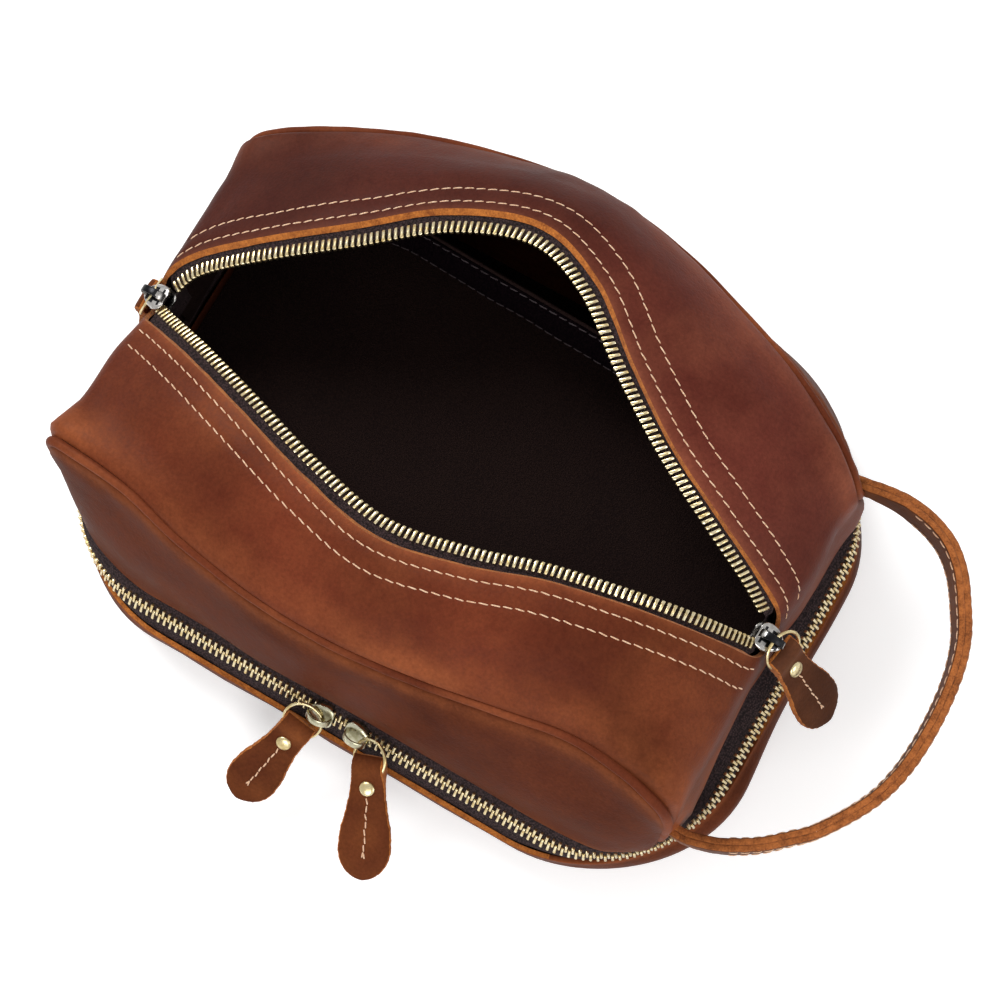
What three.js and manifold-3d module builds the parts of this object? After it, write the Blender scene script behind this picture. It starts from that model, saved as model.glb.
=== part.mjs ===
// A leather toiletry bag: a shallow tray below, a taller main bag above it, a zip round three
// sides between them, an open zipped mouth, four zip pulls and a strap handle on the right end.
// Millimetres, +Z up, +X towards the handle, -Y towards the front. The origin is the middle of
// the tray's flat underside.

import * as THREE from 'three';
import { mergeVertices } from 'three/addons/utils/BufferGeometryUtils.js';
import Module from 'manifold-3d';

const wasm = await Module();
wasm.setup();

// Overall sizes of the main bag, measured at its lower edge
const bagLength = 241.6;
const bagWidth = 168;
const bagHeight = 78;

// Leather, cloth and the gaps between pieces
const leather = 1.6;
const liningCloth = 0.5;
const gap = 0.3;
const liningClearance = 0.5;
const liningMargin = 3;
const leastPanelWidth = 6;

// How finely the curved pieces are divided
const panelColumns = 4;
const pipingSteps = 40;
const pipingSides = 6;
const rollSides = 10;
const cornerSteps = 6;
const sideSteps = 3;
const mouthSteps = 30;
const strapSteps = 36;
const archSteps = 8;
const searchSteps = 200;
const ringSides = 5;
const ringSteps = 16;
const pocketEndRows = 8;
const zipEndPoints = 2;
const endSeamPoints = 2;

// Tray
const trayLeather = 2;
const trayBoard = 2.4;
const trayEdgeHeight = 29.5;
const trayBulgeOutset = 11.6;
const trayEdgeOutset = 9.6;
const trayFootOutset = 4;
const trayFrontOutset = 14.6;
const trayFootFrontOutset = 9;
const trayCorner = 60;
const trayFootCorner = 44;
const trayFootRise = 0.8;
const boardClearance = 0.6;

// Lower zip, which closes the tray
const chainAboveTray = 7;
const chainOutset = 6.7;
const chainFrontOutset = 7.2;
const chainCorner = 45;
const bagCorner = 28;
const tapeTuckOutset = 7.2;
const tapeTuckFrontOutset = 12.1;
const tapeTuckCorner = 58;
const tapeTuckDepth = 6;
const tapeCloth = 0.6;
const toothRow = 2.4;
const rowSplit = 1.2;
const tapeInset = 2.6;
const tapeStandOff = 0.8;
const tapeTuck = 3;
const stopLength = 3;
const stopClearance = 0.9;
const floorInset = 3.1;

// Piping, mouth and handle
const pipingRadius = 2;
const mouthEdgeInset = 6;
const mouthEdgeLift = 2.2;
const mouthRow = 3;
const mouthRowThickness = 2.4;
const handleWidth = 18;
const handleRootWidth = 8;
const handleLayer = 2.2;
const handleLift = 14;
const handlePivotOut = 4;
const handleRootRun = 4;
const anchorRadius = 4.4;
const hingeRollRadius = 3.5;

// Zip sliders
const sliderLength = 10;
const sliderWidth = 9;
const sliderPlate = 1.4;
const sliderBlade = 0.4;
const bailLength = 8.4;
const bailWidth = 1.4;
const bailHeight = 4.6;
const bailStrip = 1;
const hookHeight = 1.3;
const topHookShift = 1.5;
const lowerSliderPlaces = { left: -4.9, right: 10.3 };

// How far each top slider lies beyond and below the end of the front tooth row
const topSliderPlaces = { left: { out: 1.83, drop: 0.53 }, right: { out: 1.35, drop: 1.47 } };

// Pull rings, leather tabs and rivets
const ringRadius = 6.8;
const ringWire = 0.6;
const tabLength = 44;
const tabWidth = 18.5;
const tabFoldThickness = 5.6;
const tabFoldWall = 1.3;
const rivetPlace = 11.5;
const rivetHead = 2.8;
const rivetShank = 1.2;
const rivetHeadThickness = 0.9;

// Inner slip pocket on the back wall
const pocketStandOff = 2.2;
const pocketBandStandOff = 3.4;
const pocketBandCloth = 1;

// The bag's lower edge stands above the tray's, with the zip between the two
const bagAboveTray = 8.5;
const bagBaseHeight = trayEdgeHeight + bagAboveTray;
const chainRise = trayEdgeHeight + chainAboveTray;
const handleRise = bagBaseHeight + handleLift;

// The piping's bends stand out a little past its radius, and the panels keep clear of them
const seamShare = 0.36;
const seamGap = seamShare * pipingRadius;

// The tab's neck fits inside the ring, and its fold reaches down to the ring's lowest wire
const tabTopShare = 0.81;
const tabTopWidth = 2 * tabTopShare * ringRadius;
const tabFoldShare = 0.91;
const tabFoldReach = tabFoldShare * ringRadius;

const halfLength = bagLength / 2;
const halfWidth = bagWidth / 2;
const hingeHeight = trayEdgeHeight + gap + hingeRollRadius;
const hingeOut = halfWidth + trayFrontOutset - hingeRollRadius;
const bagCentre = new THREE.Vector3(0, 0, bagBaseHeight + bagHeight / 3);

// Shares of half the length, half the width and the height above the bag's lower edge.
// The sixteen points of each table face one another across the leather panel between them.
const frontPipingShares = [
  [-0.985, -0.81, 0.10], [-1.006, -0.762, 0.436], [-0.989, -0.732, 0.744], [-0.894, -0.732, 0.795],
  [-0.712, -0.756, 0.795], [-0.513, -0.821, 0.782], [-0.248, -0.869, 0.769], [0, -0.869, 0.769],
  [0.248, -0.827, 0.776], [0.472, -0.77, 0.795], [0.662, -0.724, 0.808], [0.828, -0.738, 0.808],
  [0.944, -0.774, 0.756], [0.989, -0.804, 0.59], [0.989, -0.833, 0.359], [0.977, -0.845, 0.115],
];
const backPipingShares = [
  [-0.985, 0.798, 0.10], [-1.01, 0.75, 0.385], [-0.989, 0.78, 0.577], [-0.894, 0.881, 0.615],
  [-0.704, 1.018, 0.628], [-0.497, 1.131, 0.628], [-0.232, 1.22, 0.615], [0, 1.244, 0.615],
  [0.248, 1.19, 0.615], [0.48, 1.083, 0.628], [0.679, 0.976, 0.628], [0.844, 0.851, 0.615],
  [0.94, 0.762, 0.564], [0.985, 0.72, 0.449], [0.993, 0.738, 0.282], [0.985, 0.798, 0.10],
];
const frontMouthShares = [
  [-0.965, -0.033, 0.603], [-0.894, -0.063, 0.679], [-0.745, -0.119, 0.808], [-0.538, -0.205, 0.904],
  [-0.273, -0.318, 0.949], [-0.033, -0.379, 0.962], [0.199, -0.319, 0.962], [0.397, -0.229, 0.955],
  [0.596, -0.165, 0.936], [0.77, -0.11, 0.859], [0.886, -0.074, 0.744], [0.969, -0.043, 0.615],
];
const backMouthShares = [
  [-0.955, 0.05, 0.603], [-0.898, 0.167, 0.692], [-0.728, 0.327, 0.833], [-0.513, 0.53, 0.923],
  [-0.298, 0.75, 0.974], [-0.075, 0.858, 1], [0.116, 0.774, 1], [0.306, 0.571, 0.974],
  [0.513, 0.377, 0.936], [0.712, 0.232, 0.865], [0.861, 0.137, 0.744], [0.96, 0.06, 0.615],
];
const endSeamShares = { reach: 0.9975, foot: 0.10, top: 0.42, split: 0.008 };
const ledgeShare = 0.069;
const frontSeamShares = [
  [-0.985, -0.81, 0.10], [-0.964, -0.863, 0.09], [-0.919, -0.929, 0.077], [-0.836, -0.976, 0.07],
  [-0.695, -1, ledgeShare], [-0.497, -1, ledgeShare], [-0.248, -1, ledgeShare], [0, -1, ledgeShare],
  [0.248, -1, ledgeShare], [0.472, -1, ledgeShare], [0.662, -1, ledgeShare], [0.82, -0.982, 0.07],
  [0.886, -0.946, 0.077], [0.931, -0.905, 0.09], [0.96, -0.875, 0.10], [0.977, -0.845, 0.115],
];
const backSeamShares = [
  [-0.985, 0.798, 0.10], [-0.964, 0.845, 0.09], [-0.919, 0.917, 0.08], [-0.853, 0.97, 0.077],
  [-0.745, 1, ledgeShare], [-0.579, 1, ledgeShare], [-0.248, 1, ledgeShare], [0, 1, ledgeShare],
  [0.248, 1, ledgeShare], [0.48, 1, ledgeShare], [0.646, 1, ledgeShare], [0.762, 1, ledgeShare],
  [0.861, 0.968, 0.077], [0.919, 0.917, 0.08], [0.964, 0.845, 0.09], [0.985, 0.798, 0.10],
];
// How far each point of the back seam has left the zip for the leather hinge
const hingeDropShares = [0, 0, 0, 0, 0.55, 0.95, 1, 1, 1, 1, 0.95, 0.5, 0, 0, 0, 0];
const handleLoopShares = [
  [1.167, -0.785], [1.25, -0.685], [1.349, -0.51], [1.428, -0.321], [1.465, -0.149], [1.476, 0.06],
  [1.465, 0.268], [1.436, 0.429], [1.387, 0.56], [1.325, 0.661], [1.25, 0.748], [1.171, 0.795],
];
const archShare = 0.15;
const floorBackShares = [[-0.56, 1.1], [0.56, 1.1]];
const tapeEndShare = 0.02;
const wallLiningShares = [0.2, 0.45, 0.7];
const liningShares = [0.12, 0.4, 0.7, 0.88];
const panelBulgeShare = 0.1;
const trayLowShare = 0.2;
const trayMiddleShare = 0.5;
const trayHighShare = 0.75;
const trayLowLeatherShare = 0.8;
const hingeReachShare = 0.72;
const rootSearchShare = 0.7;
const bladeShare = 0.5;
const keelShare = 2 / 3;
const rivetTopShare = 0.7;
const sliderOutlineShares = [[-1, 0.42], [-0.5, 0.62], [0.1, 1], [0.78, 1], [1, 0.55]];
const tabProfileShares = [
  [0, 0.25], [0.02, 0.6], [0.05, 0.88], [0.09, 1], [0.13, 0.97], [0.16, 0.8], [0.185, 0.52], [1, 0.52],
];
const tabHollowShares = [[0.2, 0.2], [0.4, 0.8], [0.6, 1], [1.05, 1], [1.2, 0.6], [1.3, 0.1]];
const tabOutlineShares = [
  [0.22, 0.6], [0.4, 0.72], [0.58, 0.93], [0.76, 1], [0.87, 0.84], [0.96, 0.5], [1, 0.2],
];
const pullLeans = {
  lower_left: { yaw: 251, slope: -35, ringTurn: -46, ringLift: 14 },
  lower_right: { yaw: -65, slope: -18, ringTurn: 53, ringLift: 26 },
  top_left: { yaw: 180, slope: -79, ringTurn: 0, ringLift: -46 },
  top_right: { yaw: -28, slope: -56, ringTurn: 18, ringLift: -34 },
};
const topSliderTilt = 24;

// Colours
const redBrown = { color: 0x6e3420, roughness: 0.5, metalness: 0 };
const darkBrown = { color: 0x55261a, roughness: 0.5, metalness: 0 };
const rawEdge = { color: 0xbe6e28, roughness: 0.8, metalness: 0 };
const clothBlack = { color: 0x191211, roughness: 0.9, metalness: 0 };
const tapeBrown = { color: 0x2d2021, roughness: 0.9, metalness: 0 };
const antiqueBrass = { color: 0xc8b478, roughness: 0.35, metalness: 1 };
const paleBrass = { color: 0xe1cd96, roughness: 0.3, metalness: 1 };

const bag = new THREE.Group();

function addPiece(name, geometry, finish) {
  const mesh = new THREE.Mesh(geometry, new THREE.MeshStandardMaterial(finish));
  mesh.name = name;
  bag.add(mesh);
}

// Solid making

function turnOutward(geometry) {
  const place = geometry.getAttribute('position');
  const corner = [new THREE.Vector3(), new THREE.Vector3(), new THREE.Vector3()];
  const index = geometry.getIndex();
  let volume = 0;
  for (let i = 0; i < index.count; i += 3) {
    corner.forEach((point, k) => point.fromBufferAttribute(place, index.getX(i + k)));
    volume += corner[0].dot(corner[1].clone().cross(corner[2]));
  }
  if (volume < 0) {
    for (let i = 0; i < index.count; i += 3) {
      const first = index.getX(i);
      index.setX(i, index.getX(i + 1));
      index.setX(i + 1, first);
    }
  }
  geometry.computeVertexNormals();
  return geometry;
}

function fromPoints(points, triangles) {
  const geometry = new THREE.BufferGeometry();
  const places = points.flatMap((p) => p.toArray());
  geometry.setAttribute('position', new THREE.Float32BufferAttribute(places, 3));
  geometry.setIndex(triangles);
  return turnOutward(geometry);
}

function surfaceNormals(grid, closed, centre) {
  const rows = grid.length;
  return grid.map((row, i) => row.map((point, j) => {
    const before = grid[closed ? (i + rows - 1) % rows : Math.max(i - 1, 0)][j];
    const after = grid[closed ? (i + 1) % rows : Math.min(i + 1, rows - 1)][j];
    const across = row[Math.min(j + 1, row.length - 1)].clone().sub(row[Math.max(j - 1, 0)]);
    const normal = after.clone().sub(before).cross(across).normalize();
    const outward = point.clone().sub(centre);
    return normal.dot(outward) < 0 ? normal.negate() : normal;
  }));
}

function offsetGrid(grid, distance, closed = false, centre = bagCentre) {
  const normals = surfaceNormals(grid, closed, centre);
  const moved = (point, i, j) => point.clone().addScaledVector(normals[i][j], distance);
  return grid.map((row, i) => row.map((point, j) => moved(point, i, j)));
}

// A sheet of even thickness between two matching grids of points, as one closed solid
function sheetBetween(outer, inner, closed) {
  const rows = outer.length;
  const columns = outer[0].length;
  const points = [...outer.flat(), ...inner.flat()];
  const triangles = [];
  const at = (side, i, j) => side * rows * columns + (i % rows) * columns + j;
  const quad = (a, b, c, d) => triangles.push(a, b, c, a, c, d);
  const spans = closed ? rows : rows - 1;
  const edge = columns - 1;
  const end = rows - 1;
  for (let i = 0; i < spans; i += 1) {
    for (let j = 0; j < edge; j += 1) {
      quad(at(0, i, j), at(0, i + 1, j), at(0, i + 1, j + 1), at(0, i, j + 1));
      quad(at(1, i, j), at(1, i, j + 1), at(1, i + 1, j + 1), at(1, i + 1, j));
    }
    quad(at(0, i, 0), at(1, i, 0), at(1, i + 1, 0), at(0, i + 1, 0));
    quad(at(0, i, edge), at(0, i + 1, edge), at(1, i + 1, edge), at(1, i, edge));
  }
  if (!closed) {
    for (let j = 0; j < edge; j += 1) {
      quad(at(0, 0, j), at(0, 0, j + 1), at(1, 0, j + 1), at(1, 0, j));
      quad(at(0, end, j), at(1, end, j), at(1, end, j + 1), at(0, end, j + 1));
    }
  }
  return fromPoints(points, triangles);
}

function sheet(grid, thickness, closed = false, centre = bagCentre) {
  return sheetBetween(grid, offsetGrid(grid, -thickness, closed, centre), closed);
}

function toSolid(geometry) {
  const plain = geometry.clone();
  plain.deleteAttribute('normal');
  plain.deleteAttribute('uv');
  const merged = mergeVertices(plain);
  const vertProperties = new Float32Array(merged.getAttribute('position').array);
  const triVerts = new Uint32Array(merged.getIndex().array);
  return new wasm.Manifold(new wasm.Mesh({ numProp: 3, vertProperties, triVerts }));
}

function toGeometry(solid) {
  const mesh = solid.getMesh();
  const geometry = new THREE.BufferGeometry();
  geometry.setAttribute('position', new THREE.BufferAttribute(mesh.vertProperties, 3));
  geometry.setIndex(new THREE.BufferAttribute(mesh.triVerts, 1));
  geometry.computeVertexNormals();
  return geometry;
}

function block(from, to) {
  const low = new THREE.Vector3(...from);
  const high = new THREE.Vector3(...to);
  const size = high.clone().sub(low);
  const middle = low.clone().add(high).divideScalar(2);
  return new THREE.BoxGeometry(size.x, size.y, size.z).translate(middle.x, middle.y, middle.z);
}

function plateFrom(outline, from, to) {
  const shape = new THREE.Shape(outline.map(([x, y]) => new THREE.Vector2(x, y)));
  return new THREE.ExtrudeGeometry(shape, { depth: to - from, bevelEnabled: false }).translate(0, 0, from);
}

function roundBar(path, radius, sides, steps) {
  const circle = new THREE.Shape();
  for (let k = 0; k < sides; k += 1) {
    const angle = (2 * Math.PI * k) / sides;
    const go = k === 0 ? 'moveTo' : 'lineTo';
    circle[go](radius * Math.cos(angle), radius * Math.sin(angle));
  }
  return new THREE.ExtrudeGeometry(circle, { steps, extrudePath: path, bevelEnabled: false });
}

// Curves and ribbons of the main bag

function bagPoint([x, y, z]) {
  return new THREE.Vector3(x * halfLength, y * halfWidth, bagBaseHeight + z * bagHeight);
}

const smoothPath = (points) => new THREE.CatmullRomCurve3(points, false, 'catmullrom', 0.5);

function mouthEdge(mouth, side) {
  const offsets = mouth.map((point, k) => {
    const along = mouth[Math.min(k + 1, mouth.length - 1)].clone().sub(mouth[Math.max(k - 1, 0)]);
    const out = new THREE.Vector3(-along.y, along.x, 0).normalize().multiplyScalar(side * mouthEdgeInset);
    return point.clone().add(out).add(new THREE.Vector3(0, 0, mouthEdgeLift));
  });
  const seam = (end, z) => bagPoint([end * endSeamShares.reach, side * endSeamShares.split, z]);
  return [
    seam(-1, endSeamShares.foot), seam(-1, endSeamShares.top), ...offsets,
    seam(1, endSeamShares.top), seam(1, endSeamShares.foot),
  ];
}

const frontMouth = frontMouthShares.map(bagPoint);
const backMouth = backMouthShares.map(bagPoint);
const backSeam = backSeamShares.map((shares, k) => {
  const atZip = bagPoint(shares);
  const atHinge = new THREE.Vector3(atZip.x, hingeOut, hingeHeight + hingeRollRadius + gap);
  return atZip.lerp(atHinge, hingeDropShares[k]);
});
const paths = {
  frontPiping: smoothPath(frontPipingShares.map(bagPoint)),
  backPiping: smoothPath(backPipingShares.map(bagPoint)),
  frontEdge: smoothPath(mouthEdge(frontMouth, -1)),
  backEdge: smoothPath(mouthEdge(backMouth, 1)),
  frontSeam: smoothPath(frontSeamShares.map(bagPoint)),
  backSeam: smoothPath(backSeam),
  frontMouth: smoothPath(frontMouth),
  backMouth: smoothPath(backMouth),
};

// A panel is stretched from the piping to another path, one row of points at each ring of the
// piping. It is arched outward across its width and kept clear of the piping.
function stretchedRows(piping, edge, arch) {
  const rows = [];
  for (let i = 0; i <= pipingSteps; i += 1) {
    const t = piping.getUtoTmapping(i / pipingSteps);
    const a = piping.getPoint(t);
    const b = edge.getPoint(t);
    const span = b.clone().sub(a);
    const along = piping.getTangent(t);
    const width = span.clone().cross(along).length();
    const out = span.clone().cross(along).normalize();
    const middle = a.clone().add(b).divideScalar(2);
    if (out.dot(middle.clone().sub(bagCentre)) < 0) out.negate();
    const crown = Math.sin(Math.PI * t) ** 2;
    const control = middle.addScaledVector(out, 2 * arch * crown * span.length());
    const points = archedPoints([a, control, b], (pipingRadius + seamGap) / width);
    rows.push({ t, width, points });
  }
  return rows;
}

function archedPoints([a, control, b], from) {
  const points = [];
  for (let j = 0; j <= panelColumns; j += 1) {
    const w = from + ((1 - from) * j) / panelColumns;
    const p = a.clone().multiplyScalar((1 - w) ** 2);
    points.push(p.addScaledVector(control, 2 * w * (1 - w)).addScaledVector(b, w ** 2));
  }
  return points;
}

// The same panel seen from inside the bag: below the leather, and drawn back from its edges
function liningOf(grid) {
  const rows = offsetGrid(grid, -leather - liningClearance).slice(1, -1);
  return rows.map((row) => liningShares.map((share) => pointAlong(row, share)));
}

function pointAlong(row, share) {
  const place = share * (row.length - 1);
  const before = Math.min(Math.floor(place), row.length - 2);
  return row[before].clone().lerp(row[before + 1], place - before);
}

const gussetRows = {
  front: stretchedRows(paths.frontPiping, paths.frontEdge, archShare),
  back: stretchedRows(paths.backPiping, paths.backEdge, archShare),
};
const gussets = {
  front: gussetRows.front.map((row) => row.points),
  back: gussetRows.back.map((row) => row.points),
};

// A wall narrows to nothing where its seam meets the piping, and is left off there
function wallGrid(piping, seam) {
  const rows = stretchedRows(piping, seam, panelBulgeShare).filter((row) => row.width > leastPanelWidth);
  return rows.map((row) => row.points);
}

const walls = {
  front: wallGrid(paths.frontPiping, paths.frontSeam),
  back: wallGrid(paths.backPiping, paths.backSeam),
};

function makeBagPanels() {
  for (const side of ['front', 'back']) {
    addPiece(`${side}_gusset`, sheet(gussets[side], leather), redBrown);
    addPiece(`${side}_panel`, sheet(walls[side], leather), redBrown);
    addPiece(`${side}_gusset_lining`, sheet(liningOf(gussets[side]), liningCloth), clothBlack);
    addPiece(`${side}_lining`, sheet(liningOf(walls[side]), liningCloth), clothBlack);
  }
  makePocket(liningOf(walls.back));
}

// The slip pocket lies on the back lining, with its folded band along its open top edge
function makePocket(backWall) {
  const middleRows = backWall.slice(pocketEndRows, -pocketEndRows);
  const pocket = offsetGrid(middleRows, -pocketStandOff).map((row) => row.slice(1));
  addPiece('inner_pocket', sheet(pocket, liningCloth), clothBlack);
  const band = offsetGrid(middleRows, -pocketBandStandOff).map((row) => row.slice(1, 3));
  addPiece('pocket_band', sheet(band, pocketBandCloth), tapeBrown);
}

function makePiping() {
  const cordAlong = (path) => roundBar(path, pipingRadius, pipingSides, pipingSteps);
  addPiece('front_piping', cordAlong(paths.frontPiping), darkBrown);
  addPiece('back_piping', cordAlong(paths.backPiping), darkBrown);
}

// Mouth zip: a tooth row and its tape on each side

function outFrom(along, side) {
  return new THREE.Vector3(-along.y, along.x, 0).normalize().multiplyScalar(side);
}

function lift(grid, height) {
  const up = new THREE.Vector3(0, 0, height);
  return grid.map((row) => row.map((point) => point.clone().add(up)));
}

// Each tooth row starts just clear of the left slider and ends just clear of the right one
function mouthTeeth(mouth, side) {
  const clear = ({ out }) => (sliderLength / 2 + gap - out) / mouth.getLength();
  const from = mouth.getUtoTmapping(clear(topSliderPlaces.left));
  const to = mouth.getUtoTmapping(1 - clear(topSliderPlaces.right));
  const grid = [];
  for (let i = 0; i <= mouthSteps; i += 1) {
    const t = from + ((to - from) * i) / mouthSteps;
    const out = outFrom(mouth.getTangent(t), side).multiplyScalar(mouthRow / 2);
    const point = mouth.getPoint(t).add(new THREE.Vector3(0, 0, mouthRowThickness / 2));
    grid.push([point.clone().sub(out), point.clone().add(out)]);
  }
  return sheetBetween(grid, lift(grid, -mouthRowThickness), false);
}

// The tape runs from the teeth to under the leather's raw edge
function mouthTape(mouth, side, sign) {
  const under = offsetGrid(gussets[side], -leather - gap);
  const edgeSpans = frontMouthShares.length + 2 * endSeamPoints - 1;
  const mouthSpans = frontMouthShares.length - 1;
  const grid = [];
  under.forEach((row, i) => {
    const t = (gussetRows[side][i].t * edgeSpans - endSeamPoints) / mouthSpans;
    if (t < tapeEndShare || t > 1 - tapeEndShare) return;
    const out = outFrom(mouth.getTangent(t), sign).multiplyScalar(mouthRow / 2 + gap);
    const edge = row[row.length - 1];
    const tucked = edge.clone().add(row[row.length - 2].clone().sub(edge).setLength(tapeTuck));
    grid.push([mouth.getPoint(t).add(out), edge, tucked]);
  });
  return sheet(grid, tapeCloth);
}

function makeMouthZip() {
  addPiece('front_mouth_teeth', mouthTeeth(paths.frontMouth, -1), paleBrass);
  addPiece('back_mouth_teeth', mouthTeeth(paths.backMouth, 1), paleBrass);
  addPiece('front_mouth_tape', mouthTape(paths.frontMouth, 'front', -1), tapeBrown);
  addPiece('back_mouth_tape', mouthTape(paths.backMouth, 'back', 1), tapeBrown);
}

// Round-cornered loops, all with matching points: the back right corner first, then clockwise

function cornerPoints(centre, corner, quarter) {
  const points = [];
  for (let k = 0; k <= cornerSteps; k += 1) {
    const angle = (Math.PI / 2) * (1 - quarter - k / cornerSteps);
    points.push(new THREE.Vector3(Math.cos(angle), Math.sin(angle), 0).multiplyScalar(corner).add(centre));
  }
  return points;
}

function loop(endOutset, sideOutset, corner, height) {
  const a = halfLength + endOutset - corner;
  const b = halfWidth + sideOutset - corner;
  const centres = [[a, b], [a, -b], [-a, -b], [-a, b]];
  const arcs = centres.map(([x, y], k) => cornerPoints(new THREE.Vector3(x, y, height), corner, k));
  return arcs.flatMap((arc, k) => {
    const last = arc[arc.length - 1];
    const next = arcs[(k + 1) % arcs.length][0];
    const between = [];
    for (let i = 1; i < sideSteps; i += 1) {
      between.push(last.clone().lerp(next, i / sideSteps));
    }
    return [...arc, ...between];
  });
}

const levels = (...loops) => loops[0].map((_, k) => loops.map((points) => points[k]));

// The part of a loop that the zip follows, from one back corner round the front to the other
function zipPart(grid) {
  return grid.slice(zipEndPoints, grid.length + 1 - sideSteps - zipEndPoints);
}

// The outline of the tray's foot, drawn inward
function trayOutline(inset) {
  const inner = loop(trayFootOutset - inset, trayFootFrontOutset - inset, trayFootCorner - inset, 0);
  return inner.map((p) => [p.x, p.y]);
}

function makeTray() {
  const tuck = trayLowLeatherShare * trayLeather;
  const wall = levels(
    loop(trayFootOutset, trayFootFrontOutset, trayFootCorner, trayFootRise),
    loop(trayBulgeOutset - trayLeather, trayFrontOutset - tuck, trayCorner, trayLowShare * trayEdgeHeight),
    loop(trayBulgeOutset, trayFrontOutset, trayCorner, trayMiddleShare * trayEdgeHeight),
    loop(trayBulgeOutset, trayFrontOutset, trayCorner, trayHighShare * trayEdgeHeight),
    loop(trayEdgeOutset, trayFrontOutset, trayCorner, trayEdgeHeight),
  );
  addPiece('tray_wall', sheet(wall, trayLeather, true), redBrown);
  const boardInset = trayLeather + boardClearance;
  addPiece('tray_base', plateFrom(trayOutline(boardInset), 0, trayBoard), darkBrown);
  const clothFrom = trayBoard + gap;
  const floorCloth = plateFrom(trayOutline(boardInset + liningMargin), clothFrom, clothFrom + liningCloth);
  addPiece('tray_floor_lining', floorCloth, clothBlack);
  const innerWall = offsetGrid(wall, -trayLeather - liningClearance, true);
  const liningRows = innerWall.map((row) => {
    const path = smoothPath(row);
    return wallLiningShares.map((t) => path.getPoint(t));
  });
  addPiece('tray_wall_lining', sheet(liningRows, liningCloth, true), clothBlack);
}

// Lower zip: the chain runs along the middle of a sloping ledge between tray and bag

const ledgeHeight = bagBaseHeight + ledgeShare * bagHeight;
const ledgeEdge = loop(0, 0, bagCorner, ledgeHeight - tapeCloth - gap);
const chainLine = loop(chainOutset, chainFrontOutset, chainCorner, chainRise);
const trayTuck = loop(tapeTuckOutset, tapeTuckFrontOutset, tapeTuckCorner, trayEdgeHeight + gap);

// Both tooth rows lie in one plane, tilted from the tray's edge to the bag's
const rowSlant = ledgeEdge.map((p, k) => p.clone().sub(trayTuck[k]).normalize());
const beside = (distance) => chainLine.map((p, k) => p.clone().addScaledVector(rowSlant[k], distance));

function tiltedBar(near, far, thickness) {
  const grid = zipPart(levels(near, far));
  const top = offsetGrid(grid, thickness / 2);
  return sheetBetween(top, offsetGrid(grid, -thickness / 2), false);
}

function makeLowerZip() {
  const rowStart = rowSplit / 2;
  const rowEnd = rowStart + toothRow;
  const tapeStart = rowEnd + tapeStandOff;
  addPiece('body_zip_teeth', tiltedBar(beside(rowStart), beside(rowEnd), toothRow), paleBrass);
  addPiece('tray_zip_teeth', tiltedBar(beside(-rowStart), beside(-rowEnd), toothRow), paleBrass);
  const tuckedIn = loop(-tapeInset, -tapeInset, bagCorner - tapeInset, ledgeHeight - tapeCloth - gap);
  const upperTape = zipPart(levels(beside(tapeStart), ledgeEdge, tuckedIn));
  const trayMiddle = new THREE.Vector3();
  addPiece('body_zip_tape', sheet(upperTape, tapeCloth, false, trayMiddle), tapeBrown);
  const tuckRise = trayEdgeHeight - tapeTuckDepth;
  const tuckEnd = loop(tapeTuckOutset, tapeTuckFrontOutset, tapeTuckCorner, tuckRise);
  const lowerTape = zipPart(levels(beside(-tapeStart), trayTuck, tuckEnd));
  addPiece('tray_zip_tape', sheet(lowerTape, tapeCloth), tapeBrown);
  const upperRows = zipPart(levels(beside(rowStart + toothRow / 2))).flat();
  makeZipStop('lower_zip_stop_right', upperRows[0], upperRows[1]);
  makeZipStop('lower_zip_stop_left', upperRows[upperRows.length - 1], upperRows[upperRows.length - 2]);
}

// The stop closes the end of the bag's tooth row, just past the last tooth
function makeZipStop(name, end, before) {
  const away = end.clone().sub(before).normalize();
  const middle = end.clone().addScaledVector(away, stopLength / 2 + stopClearance);
  const stop = new THREE.BoxGeometry(stopLength, toothRow, toothRow);
  stop.rotateZ(Math.atan2(away.y, away.x)).translate(middle.x, middle.y, middle.z);
  addPiece(name, stop, antiqueBrass);
}

// The floor between bag and tray, which reaches back to the hinge
function floorOutline(inset) {
  const corners = loop(-inset, -inset, bagCorner - inset, 0).slice(0, 1 - sideSteps);
  const back = floorBackShares.map(([x, y]) => [x * halfLength, y * halfWidth - inset + floorInset]);
  return [...corners.map((p) => [p.x, p.y]), ...back];
}

function makeBagFloor() {
  const top = ledgeHeight - gap;
  addPiece('floor_panel', plateFrom(floorOutline(floorInset), top - leather, top), darkBrown);
  const cloth = plateFrom(floorOutline(floorInset + liningMargin), top + gap, top + gap + liningCloth);
  addPiece('floor_lining', cloth, clothBlack);
}

function makeHinge() {
  const reach = hingeReachShare * halfLength;
  const ends = [-reach, reach].map((x) => new THREE.Vector3(x, hingeOut, hingeHeight));
  const roll = roundBar(new THREE.LineCurve3(...ends), hingeRollRadius, rollSides, 1);
  addPiece('hinge_roll', roll, redBrown);
}

// Handle: two layers of leather on edge, with short sewn roots at the piping

const pivotX = halfLength + handlePivotOut;
const rootX = pivotX + anchorRadius + gap;

function rootPlace(piping) {
  let best = piping.getPoint(1);
  for (let i = 0; i <= searchSteps; i += 1) {
    const point = piping.getPoint(rootSearchShare + ((1 - rootSearchShare) * i) / searchSteps);
    if (Math.abs(point.z - handleRise) < Math.abs(best.z - handleRise)) best = point;
  }
  return best;
}

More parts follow.
